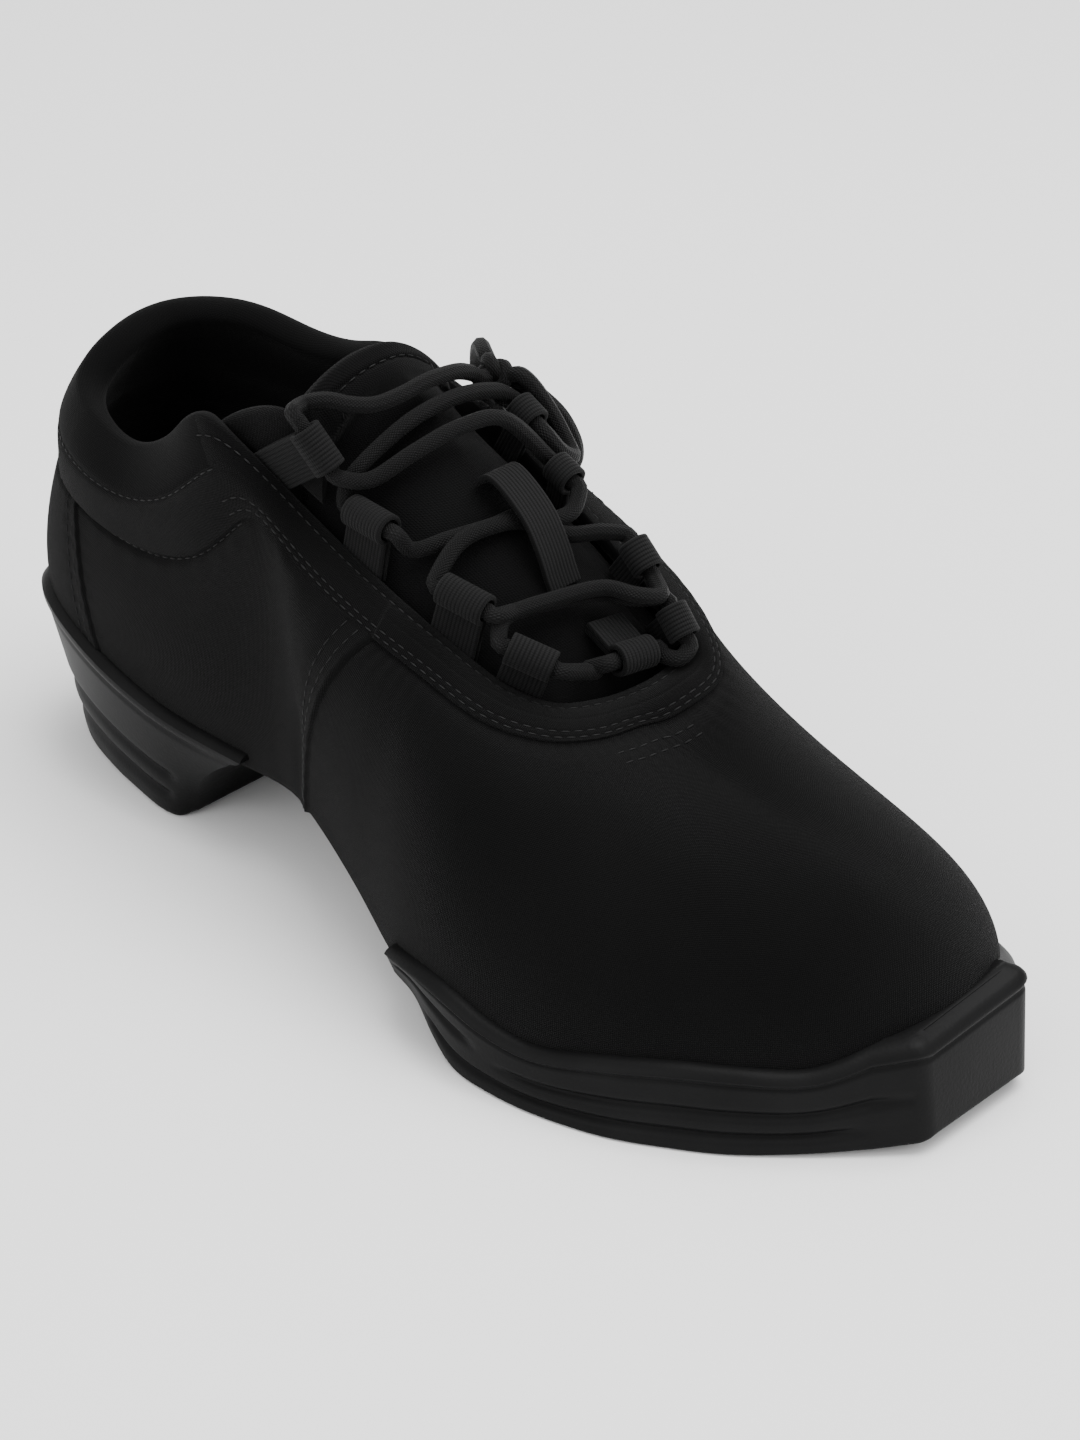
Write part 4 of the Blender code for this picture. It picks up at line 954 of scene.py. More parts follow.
def tongue_middle():
    """Grid of the tongue's outer face: rows from the toe end to the tip, arched from edge to edge."""
    ends, _places = between_rows(tongue_ends(), TONGUE_STEPS)
    u = np.linspace(-1, 1, TONGUE_ACROSS)[None, :, None]
    outer, crest, inner = ends[:, None, 0:3], ends[:, None, 3:6], ends[:, None, 6:9]
    edge = np.where(u < 0, outer, inner)
    face = crest + (edge - crest) * np.abs(u)
    face[..., 2] = crest[..., 2] + (edge[..., 2] - crest[..., 2]) * np.abs(u[..., 0])**2
    return face


def distance_from_tip(face):
    """How far each point of the face is from the row at the tip, mm."""
    rows = np.linalg.norm(np.diff(face, axis=0), axis=2)
    return np.concatenate((np.cumsum(rows[::-1], 0)[::-1], np.zeros((1, TONGUE_ACROSS))), 0)


def build_tongue():
    """Two faces either side of the middle one, swelling in from a rounded edge."""
    face = tongue_middle()
    along, across = np.gradient(face, axis=0), np.gradient(face, axis=1)
    normal = unit(np.cross(across, along))
    normal = normal * np.sign(normal[len(normal) // 2, TONGUE_ACROSS // 2, 2])
    steps = np.linalg.norm(np.diff(face, axis=1), axis=2)
    from_side = np.concatenate((np.zeros((len(face), 1)), np.cumsum(steps, 1)), 1)
    from_side = np.minimum(from_side, from_side[:, -1:] - from_side)
    from_edge = np.minimum(from_side, distance_from_tip(face))
    inwards = np.clip(from_edge / EDGE_ROUND, 0, 1)
    swell = np.sqrt(inwards * (2 - inwards))
    bound = BINDING_STEP * (1 - ease(from_edge, BINDING_WIDTH - 0.4, BINDING_WIDTH))
    bound = bound - BINDING_DRAW * groove(from_edge, BINDING_WIDTH, 0.5)
    above = face + normal * (bound - 0.5 * TONGUE_THICKNESS * (1 - swell))[..., None]
    below = face - normal * (0.5 * TONGUE_THICKNESS * (1 + swell))[..., None]
    grid = np.concatenate((above, below[:, ::-1]), 1)
    ring = grid.shape[1]
    faces = grid_faces(len(grid), ring, close_columns=False, close_rows=True).tolist()
    uv = grid_uv(grid, close_columns=False, close_rows=True).reshape(-1, 2)
    last = (len(grid) - 1) * ring
    half = ring // 2
    for k in range(half - 1):
        strip = (k, k + 1, ring - 2 - k, ring - 1 - k)
        faces.append(tuple(reversed(strip)))
        faces.append(tuple(last + index for index in strip))
    uv = np.concatenate((uv, np.zeros((8 * (half - 1), 2))))
    tongue = make_piece("tongue_padded", grid.reshape(-1, 3), faces, uv, (TWILL,), smooth=60.0)
    outward_faces(tongue)
    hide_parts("tongue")
    return tongue, face, normal


tongue_piece, tongue_face, tongue_normal = build_tongue()
print("tongue", len(tongue_piece.data.polygons), "faces")

# %% [markdown]
# ## The lining's wing
# At the front of the collar the padded lining goes on past the eyestay's top and stands up beside the
# tongue. It is a soft flap. It could be drawn out of the upper's grid, but a sleeve between a lip and
# a root, sewn inside the eyestay, keeps both shapes simple.

# %% The lining's wing beside the tongue
WING = (
    # root x, y, z           lip x, y, z            thickness
    (70.0, -22.0, 96.0,      71.0, -22.5, 99.0,     2.0),
    (76.0, -22.5, 97.0,      78.0, -20.8, 104.4,    3.6),
    (83.0, -22.0, 97.5,      85.0, -19.4, 107.6,    4.4),
    (90.0, -21.0, 96.5,      91.5, -18.6, 108.4,    4.4),
    (96.0, -19.6, 93.0,      97.0, -18.4, 106.0,    3.6),
    (101.0, -18.6, 90.0,     102.0, -18.2, 100.0,   2.0),
)
WING_SIDES = 18
WING_ROWS = 6           # rows from one line of the table to the next
WING_ROOT_SHARE = 0.55  # thickness at the root, as a share of the lip's


def build_wing():
    """A closed sleeve round the flap's middle, blunt at the root and round at the lip."""
    rows, _places = between_rows(WING, WING_ROWS)
    root, lip, thick = rows[:, 0:3], rows[:, 3:6], rows[:, 6:7]
    along = unit(np.gradient(lip, axis=0))
    out = unit(np.cross(along, lip - root))
    ring = []
    for angle in np.linspace(0, 2 * math.pi, WING_SIDES, endpoint=False):
        height = (1 - math.cos(angle)) / 2
        bulge = math.sin(angle) * (WING_ROOT_SHARE + (1 - WING_ROOT_SHARE) * height)
        ring.append(root + (lip - root) * height + out * bulge * thick / 2)
    grid = np.stack(ring, 1)
    faces = grid_faces(*grid.shape[:2], close_columns=False, close_rows=True).tolist()
    uv = grid_uv(grid, close_columns=False, close_rows=True).reshape(-1, 2)
    faces += end_caps(len(grid), WING_SIDES)
    uv = np.concatenate((uv, np.zeros((2 * WING_SIDES, 2))))
    wing = make_piece("lining_wing", grid.reshape(-1, 3), faces, uv, (BAND,), smooth=70.0)
    outward_faces(wing)
    return wing


wing_piece = build_wing()
print("lining wing", len(wing_piece.data.polygons), "faces")

# %% [markdown]
# ## Webbing loops
# In place of eyelets, folded strips of ribbed webbing come from under the eyestay, and the lace runs
# through the fold. A strip is an open surface that Solidify gives its thickness and Bevel its soft
# edges.

# %% Where each loop sits
LACE_LOOPS = {
    # name     rib    clear  lace x, y, z          width
    "outer_1": (5.70,  1.0,   103.0, -21.5, 104.4,  10.0),
    "outer_2": (6.75,  1.0,   115.0, -18.5, 91.3,   11.0),
    "outer_3": (8.15,  0.6,   140.0, -16.8, 81.6,   11.0),
    "outer_4": (9.60,  1.1,   155.3, -13.6, 72.8,   10.0),
    "inner_4": (16.50, 1.9,   167.5, 17.0, 73.2,    7.0),
    "inner_3": (17.45, 0.6,   155.2, 19.2, 83.0,    7.0),
    "inner_2": (18.60, 0.6,   132.5, 20.4, 93.8,    6.0),
    "inner_1": (19.35, 0.6,   119.3, 23.2, 102.2,   6.0),
}
TOE_LOOP_START = np.array((155.8, 7.6, 72.3))
TOE_LOOP_LACE = np.array((165.4, 5.8, 69.2))
TOE_LOOP_WIDTH = 9.0
PLY = 1.1               # thickness of the webbing
PLY_EDGE = 0.28         # rounding of its edges
PLY_ACROSS = 9
LOOP_ROOT = 3.0         # how far a loop goes on under the eyestay, and the one at the toe end
TOE_LOOP_ROOT = 0.5
LOOP_STEPS = 28
LOOP_RADIUS = 2.9
LOOP_RISE = 0.4
THROAT_WALL = 2.8       # the upper's wall at the throat
LACE_RADIUS = 1.7
LACE_LEAD = 2.0         # how far the lace goes on straight out of a loop
CLEARANCE = 0.35


def loop_frame(name):
    """Start, direction, across, outward, reach and width of a loop."""
    if name == "toe":
        start, lace = TOE_LOOP_START, TOE_LOOP_LACE
        across, width = np.array((0.0, -1.0, 0.0)), TOE_LOOP_WIDTH
    else:
        rib, clear, x, y, z, width = LACE_LOOPS[name]
        lace = np.array((x, y, z))
        across = unit(last_points(rib + 0.1, 2.0) - last_points(rib - 0.1, 2.0))
        inward = unit(last_points(rib, 2.0) - last_points(rib, 1.7))
        inward = unit(inward - across * (across @ inward))
        normal = unit(np.cross(across, inward))
        edge = last_points(rib, 2.0) + normal * (EYESTAY_STEP - THROAT_WALL / 2 + LOOP_RISE)
        start = edge + inward * (clear + (PLY + CLEARANCE / 2) * abs(unit(lace - edge) @ normal))
        if rib > TOE_TIP:
            across = -across
    direction = unit(lace - start)
    across = unit(across - direction * (across @ direction))
    outward = np.cross(across, direction)
    if outward[2] < 0:
        outward = -outward
    return start, direction, across, outward, np.linalg.norm(lace - start), width


print("loops", len(LACE_LOOPS) + 1)


# %% The loops
def build_strip(name, line, across, width, node):
    """A strip of webbing along a line of points, with one crosswise direction."""
    line = np.asarray(line, float)
    shares = np.linspace(-0.5, 0.5, PLY_ACROSS)
    grid = line[:, None] + across[None, None] * (shares * width)[None, :, None]
    faces = grid_faces(*grid.shape[:2], close_columns=False)
    uv = grid_uv(grid, close_columns=False)
    strip = make_piece(name, grid.reshape(-1, 3), faces, uv, (WEBBING,), smooth=60.0)
    wall = strip.modifiers.new("ply", "SOLIDIFY")
    wall.thickness = PLY * MM
    wall.offset = 0.0
    soft = strip.modifiers.new("soft edges", "BEVEL")
    soft.width = PLY_EDGE * MM
    soft.segments = 2
    soft.limit_method = "ANGLE"
    soft.angle_limit = math.radians(50)
    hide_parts(node)
    return strip


def build_loop(name):
    """A strip that goes out, round the lace and back to the eyestay."""
    start, direction, across, outward, reach, width = loop_frame(name)
    half_gap = PLY / 2 + CLEARANCE / 2
    meet = math.asin(half_gap / LOOP_RADIUS)
    root = -TOE_LOOP_ROOT if name == "toe" else -LOOP_ROOT
    path = [(root, half_gap), (0.0, half_gap)]
    for step in range(LOOP_STEPS + 1):
        angle = math.pi - meet - 2 * (math.pi - meet) * step / LOOP_STEPS
        path.append((reach + LOOP_RADIUS * math.cos(angle), LOOP_RADIUS * math.sin(angle)))
    path += [(0.0, -half_gap), (root, -half_gap)]
    line = [start + direction * a + outward * b for a, b in path]
    return build_strip("webbing_" + name, line, across, width, "lace_loop_" + name)


loop_pieces = [build_loop(name) for name in (*LACE_LOOPS, "toe")]
print("webbing loops", len(loop_pieces))


# %% [markdown]
# ## Lace
# One round braided lace runs through every loop and crosses over the tongue. Its route is a list of
# given points, with a smooth curve through them, and a ridged section is swept along it.
# The frame of the section is carried from point to point, so that the braid doesn't twist.

# %% Smooth routes and swept tubes
def smooth_route(points, step):
    """Points a step apart along the smooth curve through a route."""
    points = [np.asarray(point, float) for point in points]
    route = [2 * points[0] - points[1]] + points + [2 * points[-1] - points[-2]]
    line = []
    for index in range(1, len(route) - 2):
        a, b, c, d = route[index - 1:index + 3]
        # rounded twice, so that a length on the edge between two counts gives the same one each run
        pieces = max(1, round(round(float(np.linalg.norm(c - b)) / step, 6)))
        for piece in range(pieces):
            line.append(curve_between(a, b, c, d, piece / pieces))
    return np.array(line + [points[-1]])


LACE_SIDES = 24
LACE_RIDGES = 8
LACE_RIDGE_DEPTH = 0.045
LACE_START = (0.31, 0.2, 0.93)      # any direction that no lace starts along
DOME_ANGLES = (0.45, 0.9, 1.3)      # rings of a rounded end
DOME_HEIGHT = 0.6


def build_tube(name, line, radius, material, ridges=LACE_RIDGES):
    """A ridged tube along a line, with rounded ends."""
    tangent = unit(np.gradient(line, axis=0))
    side = unit(np.cross(tangent[0], LACE_START))
    sides = []
    for direction in tangent:
        side = unit(side - direction * (side @ direction))
        sides.append(side)
    sides = np.array(sides)
    other = np.cross(tangent, sides)
    angle = np.linspace(0, 2 * math.pi, LACE_SIDES, endpoint=False)
    profile = radius * (1 + LACE_RIDGE_DEPTH * np.cos(ridges * angle))
    rings = (line[:, None] + sides[:, None] * (profile * np.cos(angle))[None, :, None]
             + other[:, None] * (profile * np.sin(angle))[None, :, None])
    caps = []
    for end, sign in ((0, -1), (-1, 1)):
        way = tangent[end] * sign * radius * DOME_HEIGHT
        caps.append(np.array([line[end] + way * math.sin(turn) + (rings[end] - line[end]) * math.cos(turn)
                              for turn in DOME_ANGLES]))
    grid = np.concatenate((caps[0][::-1], rings, caps[1]), 0)
    faces = grid_faces(len(grid), LACE_SIDES, close_columns=False, close_rows=True).tolist()
    length = np.concatenate(((0,), np.cumsum(np.linalg.norm(np.diff(grid.mean(1), axis=0), axis=1))))
    uv = []
    for i in range(len(grid) - 1):
        for j in range(LACE_SIDES):
            a, b = j / LACE_SIDES * math.pi, (j + 1) / LACE_SIDES * math.pi
            uv += [(length[i], a), (length[i + 1], a), (length[i + 1], b), (length[i], b)]
    faces += end_caps(len(grid), LACE_SIDES)
    uv += [(0.0, 0.0)] * (2 * LACE_SIDES)
    tube = make_piece(name, grid.reshape(-1, 3), faces, uv, (material,), smooth=60.0)
    outward_faces(tube)
    return tube


def loop_stations(name, distances):
    """Points in line through a loop."""
    start, direction, across, _outward, reach, _width = loop_frame(name)
    return [start + direction * reach + across * distance for distance in distances]


def lace_route(stations):
    """The lace's points, with five in line through each loop."""
    points = []
    for station in stations:
        if isinstance(station, str):
            name = station.lstrip("-")
            half = loop_frame(name)[-1] / 2
            distances = [-half - LACE_LEAD, -half, 0.0, half, half + LACE_LEAD]
            if station.startswith("-"):
                distances.reverse()
            points += loop_stations(name, distances)
        else:
            points.append(np.array(station, float))
    return points


print("a lace is", 2 * LACE_RADIUS, "mm thick")

# %% The lace through the loops
LACE_OUTER_HALF = (
    "outer_1", (111, -14.5, 97.6), (116, -6.5, 102.8), (119.8, 3, 106.4), (123.5, 12, 106.2),
    "inner_2", (139.0, 15.4, 88.8), (137.0, 8.0, 88.8), (134.2, 0, 90.4), (131.6, -9.5, 88.8),
    "outer_3", (147.4, -8.5, 78.6), (150.4, 0.9, 78.4), (153.4, 9.5, 77.6), (158.4, 13.2, 76.8),
    "inner_4", (171.4, 13.4, 67.8), (168.4, 12.0, 67.8), "toe", (160.5, -2.5, 67.6))
LACE_INNER_HALF = (
    (162.0, -1.5, 67.2), "-outer_4", (147.0, -12.0, 78.4), (150.6, -1, 79.6), (155.4, 7.6, 80.4),
    (161.4, 10.8, 79.8), (164.0, 15.4, 78.8), "-inner_3", (147.0, 16.6, 86.8), (140.6, 11.4, 86.0),
    (134.8, 5.8, 90.2), (133.0, -1.5, 90.0), (128.8, -9.5, 88.6), (124.0, -15.2, 86.4), "-outer_2",
    (107.0, -17.0, 96.5), (108.6, -11.5, 101.6), (111.6, -2.5, 107.4), (113.0, 9, 109.0),
    (114.2, 18.6, 107.4), "inner_1")
LACE_STEP = 0.8
toe_half = build_tube("lace_to_toe", smooth_route(lace_route(LACE_OUTER_HALF), LACE_STEP), LACE_RADIUS, LACE)
top_half = build_tube("lace_to_top", smooth_route(lace_route(LACE_INNER_HALF), LACE_STEP), LACE_RADIUS, LACE)
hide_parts("lace_crossings")
print("lace", len(toe_half.data.polygons) + len(top_half.data.polygons), "faces")

# %% [markdown]
# ## Bow
# The two top stretches meet in a small knot at the inner side of the tongue, with two loops and two
# short ends. A simulation could let them fall, but listed routes rest where the photograph shows them.

# %% Free stretches of the lace
KNOT_CENTRE = np.array((108.0, 25.0, 107.0))
BOW_ROUTES = {
    "bow_strand_outer": ("-outer_1", (96.6, -19.0, 111.6), (99.6, -15.4, 112.2), (103.2, -12.0, 111.2),
                         (106.2, -8.0, 110.8), (108.2, -2.5, 111.8), (109.2, 4.5, 113.0),
                         (109.4, 12.0, 112.4), (108.8, 17.2, 110.2), (108.4, 20.4, 107.9)),
    "bow_strand_inner": ("inner_1", (127.2, 25.0, 95.6), (126.6, 29.4, 92.6), (123.2, 31.4, 93.8),
                         (119.8, 30.6, 99.4), (116.7, 28.4, 105.4), (114.2, 26.8, 108.2)),
    "bow_loop_rear":    ((103.4, 27.0, 109.7), (99.0, 30.2, 109.2), (94.4, 34.0, 104.4), (91.6, 37.0, 97.4),
                         (92.6, 38.4, 91.6), (96.2, 38.6, 90.4), (99.0, 37.4, 94.6), (100.8, 33.8, 99.8),
                         (102.4, 28.4, 104.9)),
    "bow_loop_front":   ((112.4, 28.6, 105.4), (114.8, 31.6, 102.4), (117.6, 35.4, 97.0), (119.0, 38.2, 90.0),
                         (117.6, 39.6, 84.4), (114.6, 39.8, 83.2), (113.0, 38.6, 87.6), (112.2, 35.6, 94.0),
                         (112.4, 32.2, 99.0), (112.2, 30.2, 101.8)),
    "bow_end_rear":     ((105.4, 26.8, 102.4), (104.8, 30.4, 99.2), (103.8, 34.6, 95.0), (102.6, 38.0, 88.0),
                         (102.2, 39.4, 79.0), (101.8, 39.8, 70.0)),
    "bow_end_front":    ((109.0, 26.0, 101.9), (108.5, 30.0, 98.6), (107.9, 34.4, 93.4), (107.4, 38.2, 86.4),
                         (107.6, 39.8, 77.6), (108.0, 40.2, 68.0)),
}
KNOT_REACH = 9.0        # a stretch that stops within this of the knot runs into it, mm
KNOT_TUCK = 2.5
KNOT_SIZE = 1.15
KNOT_DEPTH = 1.1
KNOT_LACE_RADIUS = 1.45     # the lace is drawn thinner in the knot
KNOT_POINTS = 90
TIP_LENGTH = 9.0
TIP_WALL = 0.12
TIP_PAST = 0.6          # how far a tip covers the end of its lace


def bow_route(stations):
    """A stretch that starts at a loop goes on in line where the lace ends there."""
    first = stations[0]
    if not isinstance(first, str):
        return [np.array(point, float) for point in stations]
    side = -1 if first.startswith("-") else 1
    end = loop_frame(first.lstrip("-"))[-1] / 2 + LACE_LEAD
    start = loop_stations(first.lstrip("-"), [side * end, side * (end + LACE_LEAD)])
    return start + [np.array(point, float) for point in stations[1:]]


def tuck_into_knot(points):
    """Carries a stretch a little further into the knot at each end that stops beside it."""
    points = list(points)
    for end in (0, -1):
        gap = KNOT_CENTRE - points[end]
        if np.linalg.norm(gap) < KNOT_REACH:
            tucked = points[end] + unit(gap) * KNOT_TUCK
            points = [tucked] + points if end == 0 else points + [tucked]
    return points


def build_knot():
    """A lace drawn tight in a knot of three crossings."""
    t = np.linspace(0, 2 * math.pi, KNOT_POINTS)
    out = 2 + np.cos(3 * t)
    knot = np.stack((out * np.cos(2 * t), np.sin(3 * t) * KNOT_DEPTH, out * np.sin(2 * t)), 1)
    return build_tube("bow_knot_turns", KNOT_CENTRE + knot * KNOT_SIZE, KNOT_LACE_RADIUS, LACE)


def build_bow():
    """The knot, and the six stretches that go into it as cords."""
    knot = build_knot()
    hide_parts("bow_knot")
    for name, stations in BOW_ROUTES.items():
        line = smooth_route(tuck_into_knot(bow_route(stations)), LACE_STEP)
        stretch = build_tube(name + "_lace", line, LACE_RADIUS, LACE)
        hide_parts(name)
        if "end" in name:
            way = unit(line[-1] - line[-3])
            tip_line = np.array([line[-1] + way * d for d in np.linspace(-TIP_LENGTH, TIP_PAST, 12)])
            tip = build_tube(name + "_tip", tip_line, LACE_RADIUS + TIP_WALL, THREAD, ridges=0)


build_bow()

# %% [markdown]
# ## Keeper
# A strap of the same webbing stands over the middle of the tongue and holds the laces in line. Each
# of its ends is sewn down with a small box of stitches. It is built as the loops are, along a route
# given by its height over the tongue, so it follows the tongue when that is changed.

# %% The keeper strap
KEEPER_ROUTE = (
    # x, height over the tongue
    (125.4, 1.1), (127.2, 4.6), (129.8, 7.4), (134.5, 8.6), (139.6, 8.2), (143.2, 5.6), (145.4, 2.6),
    (146.8, 1.1))
KEEPER_Y = 5.5
KEEPER_WIDTH = 9.0
KEEPER_ACROSS = np.array((0.0, 1.0, 0.0))


def crest_height(x):
    """Height of the tongue's crest under the throat."""
    xs, zs = zip(*sorted((row[2], row[3]) for row in TONGUE_THROAT))
    return np.interp(x, xs, zs)


keeper_line = smooth_route([(x, KEEPER_Y, crest_height(x) + height) for x, height in KEEPER_ROUTE], 1.0)
build_strip("keeper_strap", keeper_line, KEEPER_ACROSS, KEEPER_WIDTH, "tongue_keeper")
print("keeper", len(keeper_line), "rows")

# %% [markdown]
# ## Stitches
# Rows of thread repeat along a path, which is what Geometry Nodes are good at: the tree puts points
# along a curve at a set distance and sets a small rounded stitch on each, turned along the path.

# %% A node tree that sews
STITCH_LENGTH = 1.9
STITCH_PITCH = 2.6
STITCH_THICKNESS = 0.34
BEAD_SEGMENTS = 6       # a stitch is a bead of few faces, drawn out along the path
BEAD_RINGS = 5


def stitch_tree():
    """Sets beads along a curve. The second value is the identifier of each named input."""
    tree = bpy.data.node_groups.new("row of stitches", "GeometryNodeTree")
    sockets = {}
    tree.interface.new_socket("Geometry", in_out="INPUT", socket_type="NodeSocketGeometry")
    for name, kind in (("Pitch", "NodeSocketFloat"), ("Length", "NodeSocketFloat"),
                       ("Thickness", "NodeSocketFloat"), ("Thread", "NodeSocketMaterial")):
        sockets[name] = tree.interface.new_socket(name, in_out="INPUT", socket_type=kind).identifier
    tree.interface.new_socket("Geometry", in_out="OUTPUT", socket_type="NodeSocketGeometry")
    nodes, link = tree.nodes, tree.links.new
    given, made = nodes.new("NodeGroupInput"), nodes.new("NodeGroupOutput")
    spread = nodes.new("GeometryNodeCurveToPoints")
    spread.mode = "LENGTH"
    link(given.outputs["Geometry"], spread.inputs["Curve"])
    link(given.outputs["Pitch"], spread.inputs["Length"])
    bead = nodes.new("GeometryNodeMeshUVSphere")
    bead.inputs["Segments"].default_value = BEAD_SEGMENTS
    bead.inputs["Rings"].default_value = BEAD_RINGS
    bead.inputs["Radius"].default_value = 0.5
    size = nodes.new("ShaderNodeCombineXYZ")
    link(given.outputs["Thickness"], size.inputs[0])
    link(given.outputs["Thickness"], size.inputs[1])
    link(given.outputs["Length"], size.inputs[2])
    shape = nodes.new("GeometryNodeTransform")
    link(bead.outputs["Mesh"], shape.inputs["Geometry"])
    link(size.outputs[0], shape.inputs["Scale"])
    sew = nodes.new("GeometryNodeInstanceOnPoints")
    link(spread.outputs["Points"], sew.inputs["Points"])
    link(shape.outputs["Geometry"], sew.inputs["Instance"])
    link(spread.outputs["Rotation"], sew.inputs["Rotation"])
    real = nodes.new("GeometryNodeRealizeInstances")
    link(sew.outputs["Instances"], real.inputs["Geometry"])
    smooth = nodes.new("GeometryNodeSetShadeSmooth")
    link(real.outputs["Geometry"], smooth.inputs["Geometry"])
    paint = nodes.new("GeometryNodeSetMaterial")
    link(smooth.outputs["Geometry"], paint.inputs["Geometry"])
    link(given.outputs["Thread"], paint.inputs["Material"])
    link(paint.outputs["Geometry"], made.inputs["Geometry"])
    return tree, sockets


STITCH_TREE, STITCH_SOCKETS = stitch_tree()


def sew_rows(name, paths):
    """Stitches along paths given in mm, as one plain mesh."""
    curve = bpy.data.curves.new(name, "CURVE")
    curve.dimensions = "3D"
    for path in paths:
        spline = curve.splines.new("POLY")
        spline.points.add(len(path) - 1)
        for point, place in zip(spline.points, to_scene(path)):
            point.co = (*place, 1.0)
    item = bpy.data.objects.new(name, curve)
    bpy.context.scene.collection.objects.link(item)
    sewing = item.modifiers.new("stitches", "NODES")
    sewing.node_group = STITCH_TREE
    for key, value in (("Pitch", STITCH_PITCH * MM), ("Length", STITCH_LENGTH * MM),
                       ("Thickness", STITCH_THICKNESS * MM), ("Thread", THREAD)):
        sewing[STITCH_SOCKETS[key]] = value
    view = bpy.context.evaluated_depsgraph_get()
    mesh = bpy.data.meshes.new_from_object(item.evaluated_get(view))
    bpy.data.objects.remove(item, do_unlink=True)
    rows = bpy.data.objects.new(name, mesh)
    bpy.context.scene.collection.objects.link(rows)
    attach(rows, "root")
    return rows


print("stitch pitch", STITCH_PITCH, "mm")


# %% Rows on the upper and the tongue
STITCH_LIFT = 0.1       # how far a row lies off the cloth, mm
COLLAR_LIFT = 0.2
ROW_POINTS = 12         # points of a path for each rib
VAMP_ROWS = (0.955, 0.925)      # two short rows in front of the throat, and the ribs they go from and to
VAMP_ROW_RIBS = (11.9, 14.3)
TONGUE_ROW_EDGE = 6     # columns in from the tongue's edge, and rows back from its tip
TONGUE_ROW_BACK = 16
KEEPER_BOX_INSET = 1.2
KEEPER_BOXES = ((0, 0.4, 2.6), (-1, -3.2, -0.8))     # which end, and where the box starts and stops there


def upper_row(first, last, level, lift=STITCH_LIFT):
    """A path round the shoe at one level."""
    columns = np.linspace(first, last, max(8, int(abs(last - first) * ROW_POINTS)))
    return on_upper(columns % RIB_COUNT, np.full_like(columns, level), lift)


def wall_row(column, low, high):
    """A path up the wall at one column."""
    levels = np.linspace(low, high, 40)
    return on_upper(np.full_like(levels, column), levels, STITCH_LIFT)


def seam_rows():
    """Every row of the upper: eyestay, throat, collar, waist, counter and vamp."""
    far_end = RIB_COUNT - COLLAR_END
    rows = [upper_row(COLLAR_END, far_end, level) for level in (*SEAM_ROWS, THROAT_ROW)]
    for level in (COLLAR_ROW, TOPLINE_ROW):
        rows.append(upper_row(far_end, RIB_COUNT + COLLAR_END, level, COLLAR_LIFT))
    for seam, low in ((WAIST_SEAM, 0.03), (COUNTER_SEAM, 0.16)):
        for back in ROWS_BEHIND_SEAM:
            rows.append(wall_row(seam[0] - back, low, 0.97))
            rows.append(wall_row(RIB_COUNT - seam[0] + back, low, 0.97))
    return rows + [upper_row(*VAMP_ROW_RIBS, level) for level in VAMP_ROWS]


def tongue_row():
    """A row along the inner edge of the tongue's binding."""
    inset = BINDING_WIDTH + 0.2
    row = int(np.argmin(np.abs(distance_from_tip(tongue_face)[:, TONGUE_ACROSS // 2] - inset)))
    edge, far_edge, back = TONGUE_ROW_EDGE, TONGUE_ACROSS - 1 - TONGUE_ROW_EDGE, TONGUE_ROW_BACK
    places = [(k, edge) for k in range(row - back, row)]
    places += [(row, k) for k in range(edge, far_edge + 1)]
    places += [(k, far_edge) for k in range(row - 1, row - back - 1, -1)]
    return np.array([tongue_face[place] + tongue_normal[place] * STITCH_LIFT for place in places])


def keeper_box():
    """A box of stitches at each end of the keeper strap."""
    boxes = []
    half = KEEPER_WIDTH / 2 - KEEPER_BOX_INSET
    left, right = KEEPER_Y - half, KEEPER_Y + half
    for end, first, last in KEEPER_BOXES:
        xs = [keeper_line[end][0] + distance for distance in (first, last)]
        zs = [np.interp(x, keeper_line[:, 0], keeper_line[:, 2]) + PLY / 2 for x in xs]
        corners = ((0, left), (0, right), (1, right), (1, left), (0, left))
        boxes.append(np.array([(xs[k], y, zs[k]) for k, y in corners]))
    return boxes


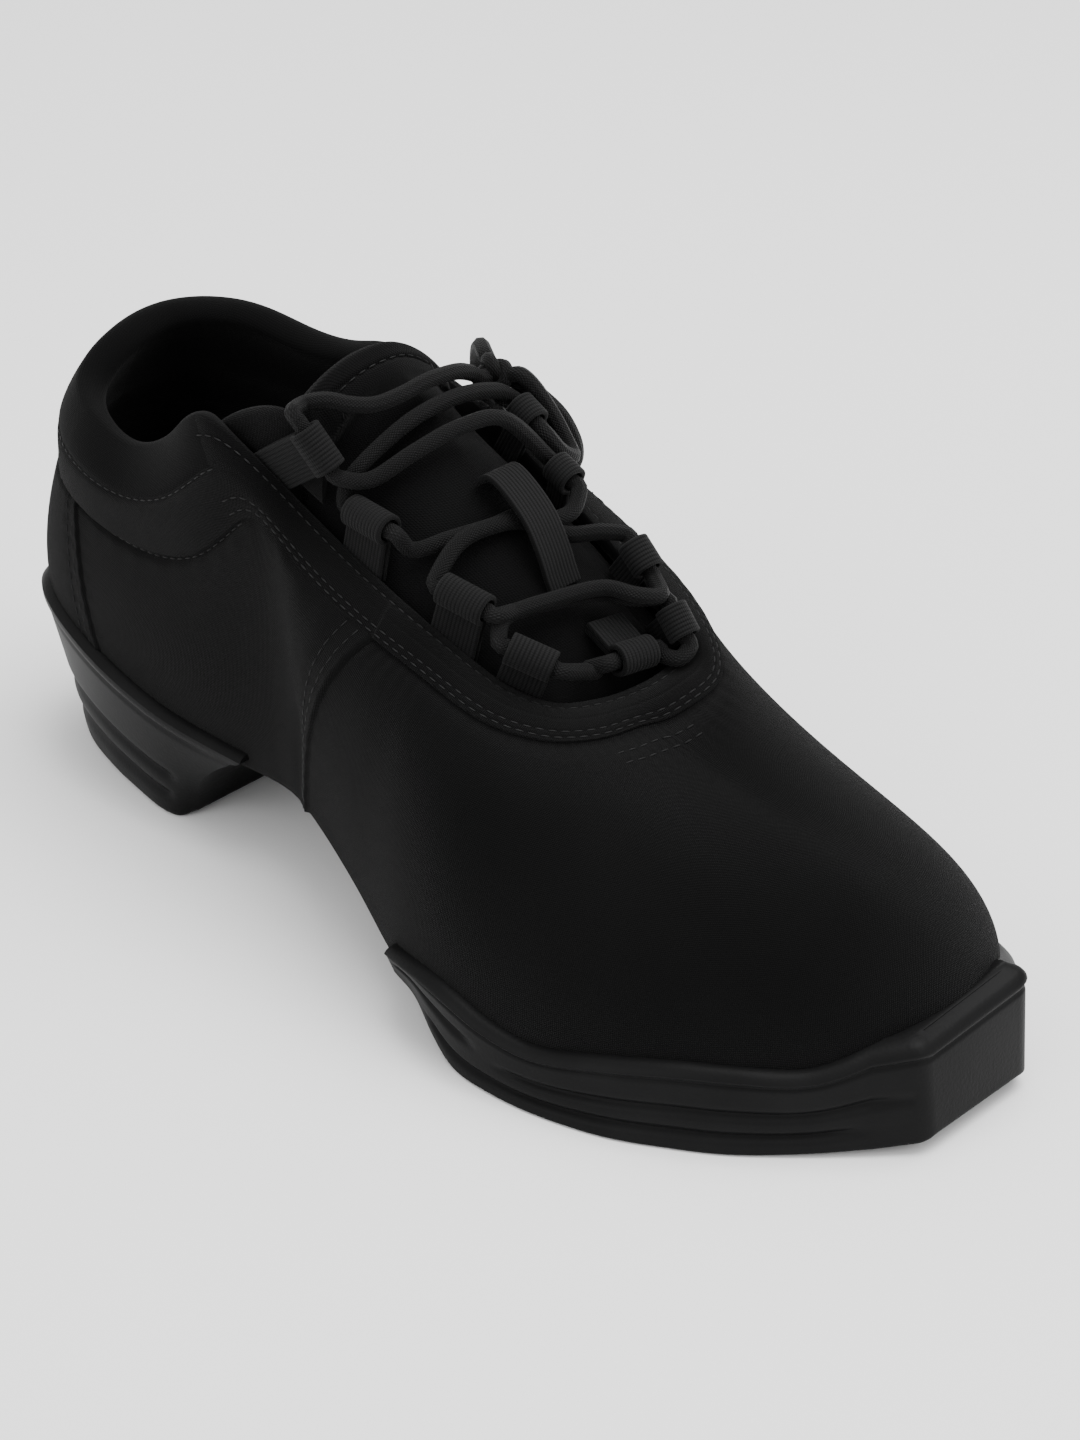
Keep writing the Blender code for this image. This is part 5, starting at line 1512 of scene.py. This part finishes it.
upper_stitches = sew_rows("stitches_upper", seam_rows())
tongue_stitches = sew_rows("stitches_tongue", [tongue_row()] + keeper_box())
for rows in (upper_stitches, tongue_stitches):
    print(rows.name, "has", len(rows.data.polygons) // (BEAD_SEGMENTS * BEAD_RINGS), "stitches")

# %% [markdown]
# ## Floor and light
# The photograph has a white ground, a soft shadow under the shoe and large soft lights from above.
# Black cloth needs strong light to show its weave, so the lights are large and near.

# %% The stage
FLOOR_REACH = 6.0       # metres either way
floor_mesh = bpy.data.meshes.new("floor")
floor_corners = [(x * FLOOR_REACH, y * FLOOR_REACH, 0) for x, y in ((-1, -1), (1, -1), (1, 1), (-1, 1))]
floor_mesh.from_pydata(floor_corners, [], [(0, 1, 2, 3)])
floor = bpy.data.objects.new("floor", floor_mesh)
bpy.context.scene.collection.objects.link(floor)
paper, _tree, paper_shader = new_material("white paper")
paper_shader.inputs["Base Color"].default_value = (0.92, 0.92, 0.92, 1.0)
paper_shader.inputs["Roughness"].default_value = 0.9
paper_shader.inputs["Specular IOR Level"].default_value = 0.1
floor_mesh.materials.append(paper)

world = bpy.data.worlds.new("studio")
world.use_nodes = True
world.node_tree.nodes["Background"].inputs["Color"].default_value = (1.0, 1.0, 1.0, 1.0)
world.node_tree.nodes["Background"].inputs["Strength"].default_value = 1.1
bpy.context.scene.world = world


def add_softbox(name, place, aim, size, power):
    """A large soft light that faces a point; size in metres and power in watts."""
    light = bpy.data.lights.new(name, "AREA")
    light.shape = "RECTANGLE"
    light.size, light.size_y = size
    light.energy = power
    item = bpy.data.objects.new(name, light)
    item.location = place
    item.rotation_euler = (Vector(aim) - Vector(place)).to_track_quat("-Z", "Y").to_euler()
    bpy.context.scene.collection.objects.link(item)


add_softbox("overhead", (0.25, 0.25, 1.3), (0.05, 0, 0.05), (1.1, 1.1), 26.0)
add_softbox("front_left", (-0.1, -1.4, 0.9), (0, 0, 0.05), (0.9, 0.9), 6.5)
add_softbox("toe_side", (1.3, 0.1, 0.9), (0.05, 0, 0.05), (0.8, 0.8), 4.5)
print("lights", len(bpy.data.lights))
